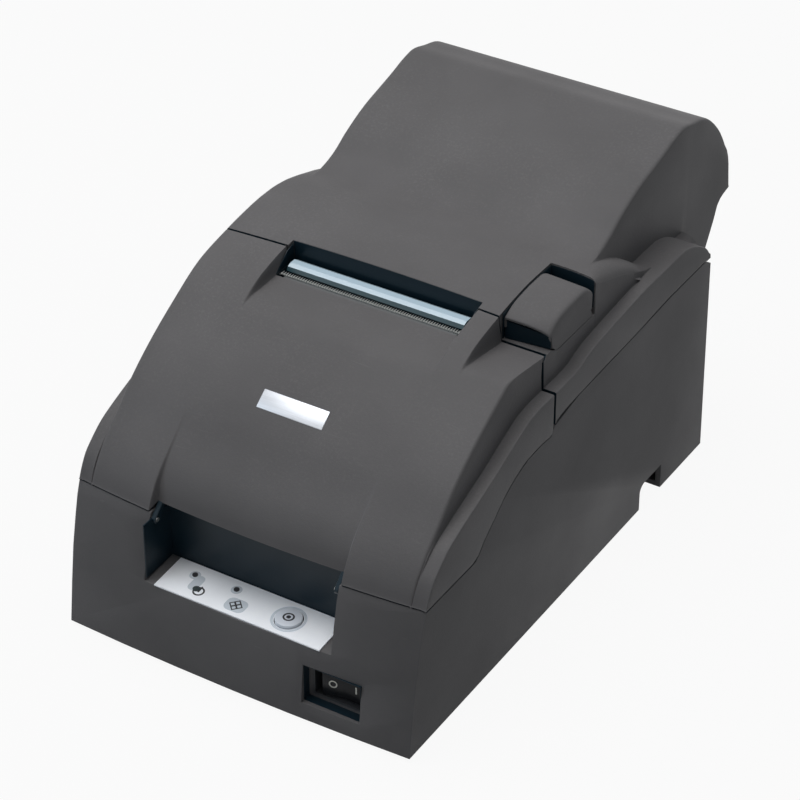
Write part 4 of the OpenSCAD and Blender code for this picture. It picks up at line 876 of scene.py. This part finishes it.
def ring_shape(work, center, outer, inner, place, corners=40, thickness=0.06):
    """A printed ring, or a square one with 4 corners."""
    loops = []
    for radius in (outer, inner):
        angles = [2 * math.pi * k / corners for k in range(corners)]
        points = [(center[0] + radius * math.cos(t), center[1] + radius * math.sin(t)) for t in angles]
        loops.append(flat_shape(work, points, place, thickness))
    (low_out, high_out), (low_in, high_in) = loops
    for k in range(corners):
        n = (k + 1) % corners
        work.faces.new((high_out[k], high_out[n], high_in[n], high_in[k]))
        work.faces.new((low_out[k], low_out[n], high_out[n], high_out[k]))
        work.faces.new((high_in[k], high_in[n], low_in[n], low_in[k]))
        work.faces.new((low_in[k], low_in[n], low_out[n], low_out[k]))


def bar_shape(work, center, half_a, half_b, place, round_off, thickness=0.06):
    """A printed bar or disc; round_off is the radius of its corners."""
    points = []
    for sa, sb, start in ((1, 1, 0), (-1, 1, 90), (-1, -1, 180), (1, -1, 270)):
        for k in range(6):
            t = math.radians(start + 18 * k)
            points.append((center[0] + sa * (half_a - round_off) + round_off * math.cos(t),
                           center[1] + sb * (half_b - round_off) + round_off * math.sin(t)))
    low, high = flat_shape(work, points, place, thickness)
    work.faces.new(high)
    work.faces.new(low[::-1])
    for k in range(len(points)):
        n = (k + 1) % len(points)
        work.faces.new((low[k], low[n], high[n], high[k]))


FILM_FRONT, FILM_RISE, BUTTON_TOP = 34.02, 0.0651, 35.82


def on_panel(x, y, up):
    """A place on the panel's film, which rises a little to the rear."""
    return to_frame(x, y, FILM_FRONT + FILM_RISE * y + up)


def on_button(x, y, up):
    """A place on the feed button's flat top."""
    return to_frame(x, y, BUTTON_TOP + up)


def on_rocker():
    """Places on the rocker's face, which is higher at both ends: a along it, b up."""
    swing, half_length, middle, rise = math.radians(7), 9.2, 2.1, 1.1
    pivot_x, pivot_y, pivot_z = 46.5, 9.2, 16

    def place(a, b, up):
        depth = -middle - rise * abs(a) / half_length - up
        x = a * math.cos(swing) - depth * math.sin(swing)
        y = a * math.sin(swing) + depth * math.cos(swing)
        return to_frame(pivot_x + x, pivot_y + y, pivot_z + b)
    return place


def make_marks():
    """Plain symbols: rings, dots and bars on the panel, a ring on the button, O and I on the rocker."""
    dark, grey, light = (bmesh.new() for _ in range(3))
    for x, y in ((-27.5, 14.4), (-8.4, 15.2)):
        bar_shape(grey, (x, y), 2.3, 2.3, on_panel, 2.2, 0.03)
        bar_shape(dark, (x, y), 1.15, 1.15, on_panel, 1.1, 0.5)
    bar_shape(grey, (-24.4, 10.8), 2.2, 4.4, on_panel, 2.1, 0.04)
    ring_shape(dark, (-20.9, 7.2), 2.5, 1.8, on_panel)
    bar_shape(dark, (-20.9, 8.4), 0.35, 1.7, on_panel, 0.3, 0.08)
    bar_shape(grey, (-3.6, 7.6), 4.6, 3.6, on_panel, 2.6, 0.03)
    for dx, dy in ((-1.5, 0), (1.5, 0), (0, -1.5), (0, 1.5)):
        ring_shape(dark, (-3.6 + dx, 7.6 + dy), 1.7, 1.0, on_panel, corners=4, thickness=0.07 + 0.01 * dx)
    ring_shape(grey, (18.7, 11.0), 7.2, 6.1, on_panel, thickness=0.03)
    ring_shape(dark, (18.7, 11.0), 2.4, 1.7, on_button, thickness=0.1)
    bar_shape(dark, (18.7, 11.0), 0.9, 0.9, on_button, 0.8, 0.1)
    ring_shape(light, (-4.9, 0.1), 1.75, 1.2, on_rocker())
    bar_shape(light, (4.9, 0.1), 0.34, 1.7, on_rocker(), 0.3)
    for work, name, node, slot in ((dark, "panel_symbols", "control_panel", "component_black"),
                                   (grey, "panel_print", "control_panel", "button_plastic"),
                                   (light, "rocker_marks", "power_rocker", "gear_plastic")):
        piece = piece_from(work, name)
        if name == "panel_print":
            piece.data.materials.append(MATERIALS["print_grey"])
        finish_piece(piece, node, slot)


def painted_shade_wall(piece, node, thickness):
    """A thin dark wall of painted shade from a sheet, riding on a node's body."""
    walled(piece, thickness)
    piece.data.materials.append(MATERIALS["painted_shade"])
    finish_piece(piece, node, "dark_plastic")


def painted_shade_strip(name, node, corners, thickness=0.4):
    """A thin dark wall of painted shade through a strip of corners, each an (x, y, z) pair of its two edges.
    """
    painted_shade_wall(sheet(name, [[to_frame(*near), to_frame(*far)] for near, far in corners]), node, thickness)


def make_exit_painted_shade():
    """Painted shade: dark sheets on the walls behind and beside the paper's exit, which lie in shade."""
    foot, rear = 112.5, 112.2
    lip_y = LIP_Y - 0.2
    painted_shade_strip("exit_lip_painted_shade", "roll_cover",
           [((x, lip_y, under_hump(x, LIP_Y, 0.25)), (x, lip_y, LIP_FOOT - 1))
            for x in spread(-EXIT_SIDE, EXIT_SIDE, 13)])
    for side, name in ((-1, "left_exit_painted_shade"), (1, "right_exit_painted_shade")):
        x = 43.45 * side
        painted_shade_strip(name, "front_cover", [((x, 98.9, foot), (x, rear, foot)),
                                     ((x, 98.9, 123.2), (x, rear, 123.2)),
                                     ((x, 107.6, 130.2), (x, rear, 131.2))], 0.2)


def make_recess_painted_shade():
    """Painted shade: a dark sheet on the left side and rear of the panel's recess, which lie in shade."""
    low, high = 35.0, 60.5
    painted_shade_strip("recess_painted_shade", "lower_case", [((x, y, low), (x, y, high))
                                           for x, y in ((-43.1, 3.0), (-43.1, 21.2), (43.2, 21.2))])


def make_seam_painted_shade():
    """Painted shade: dark sheets in the seams between the covers, and between the front cover and the case.
    """
    inside_z, rim_z, sides = 62, 62.95, (20, 30, 40, 47)
    for side, name in ((-1, "left"), (1, "right")):
        edge = roll_cover_row(ROLL_ROWS[0])
        edge = edge[edge[:, 0] * side > 44.4 * MM]
        inside = np.stack([np.zeros(len(edge)), edge[:, 1], np.full(len(edge), inside_z * MM)], -1)
        forward = np.array([0, -0.12 * MM, 0])
        near, far = (inside + share * (edge - inside) + forward for share in (0.998, 0.965))
        painted_shade_wall(sheet(name + "_seam_painted_shade", [list(pair) for pair in zip(near, far)]), "roll_cover", 0.1)
        rim = []
        for outer, back in ((79.6, 12.4), (77.2, 15.4)):
            front = [(side * x, back - bow(x, 12, 62.8), rim_z) for x in spread(44.4, outer, 12)]
            rim.append(front + [(side * outer, y, rim_z) for y in sides])
        painted_shade_strip(name + "_rim_painted_shade", "lower_case", list(zip(*rim)), 0.1)


def make_well_painted_shade():
    """Painted shade: dark sheets in the wells of the power switch and of the lever, and at the front under
    the lever's lip.
    """
    left, right, low, high = 31.6, 57.4, 7.3, 24.6
    well = ((left, low), (left, high), (right, high), (right, low), (left, low))
    painted_shade_strip("switch_well_painted_shade", "lower_case", [((x, 1.2, z), (x, 4.8, z)) for x, z in well], 0.15)
    walls = [(53.72, y) for y in (111.3, 118, 126, 134, 141, 147.0)]
    walls += [(x, POCKET_END - 0.1 + pocket_bend(x)) for x in (53.9, 57, 60, 63, 66, 69, 72, 73.2)]
    painted_shade_strip("pocket_painted_shade", "roll_cover", [((x, y, under_hump(x, y, 0.5)), (x, y, 120.2))
                                           for x, y in walls], 0.12)
    painted_shade_strip("lever_painted_shade", "release_lever", [((54.2, 112.7, 119.9), (73.2, 114.9, 119.9)),
                                             ((54.2, 112.7, 128.0), (73.2, 114.9, 125.6))])


def make_hinge_lugs():
    """Small rounded lugs of the front cover round its hinge pins, with a link up behind the brow."""
    pin_y, pin_z, full = 10.2, 59.6, 1.7
    work = bmesh.new()
    for side in (-1, 1):
        loops = []
        for x, r in ((41.2, 1.3), (41.5, full), (43.0, full), (43.2, 1.5)):
            points = [(pin_y + r * math.cos(t), pin_z + r * math.sin(t))
                      for t in (math.radians(a) for a in range(135, 316, 15))]
            points += [(19.5 + (r - full), 66.5), (16.5 - (r - full), 68.0)]
            loops.append([work.verts.new(to_frame(side * x, y, z)) for y, z in points])
        for a, b in zip(loops, loops[1:]):
            for k in range(len(a)):
                n = (k + 1) % len(a)
                work.faces.new((a[k], a[n], b[n], b[k]))
        work.faces.new(loops[0])
        work.faces.new(loops[-1])
    piece = shaded(piece_from(work, "front_hinge_lugs"))
    # painted shade: the lugs take the near-black teal that stands in for the shade round them
    piece.data.materials.append(MATERIALS["painted_shade"])
    return finish_piece(piece, "front_cover", "dark_plastic")


front_cover_shell = make_front_cover()
roll_cover_shell = make_roll_cover()
lever_cap = make_lever()
lever_arm = softened("release_lever", 0.4, below=118.2)
for piece, node in ((front_cover_shell, "front_cover"), (roll_cover_shell, "roll_cover"),
                    (lever_cap, "release_lever"), (lever_arm, "release_lever")):
    finish_piece(piece, node)
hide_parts("front_cover")
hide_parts("roll_cover")
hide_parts("release_lever")
for node, radius in (("lower_case", 0.7), ("badge_plate", 0.25), ("feed_button", 0.3),
                     ("power_rocker", 0.35)):
    piece = finish_piece(softened(node, radius), node)
    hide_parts(node)
finish_piece(make_tear_teeth(), "tear_bar")
make_marks()
make_exit_painted_shade()
make_recess_painted_shade()
make_seam_painted_shade()
make_well_painted_shade()
make_hinge_lugs()
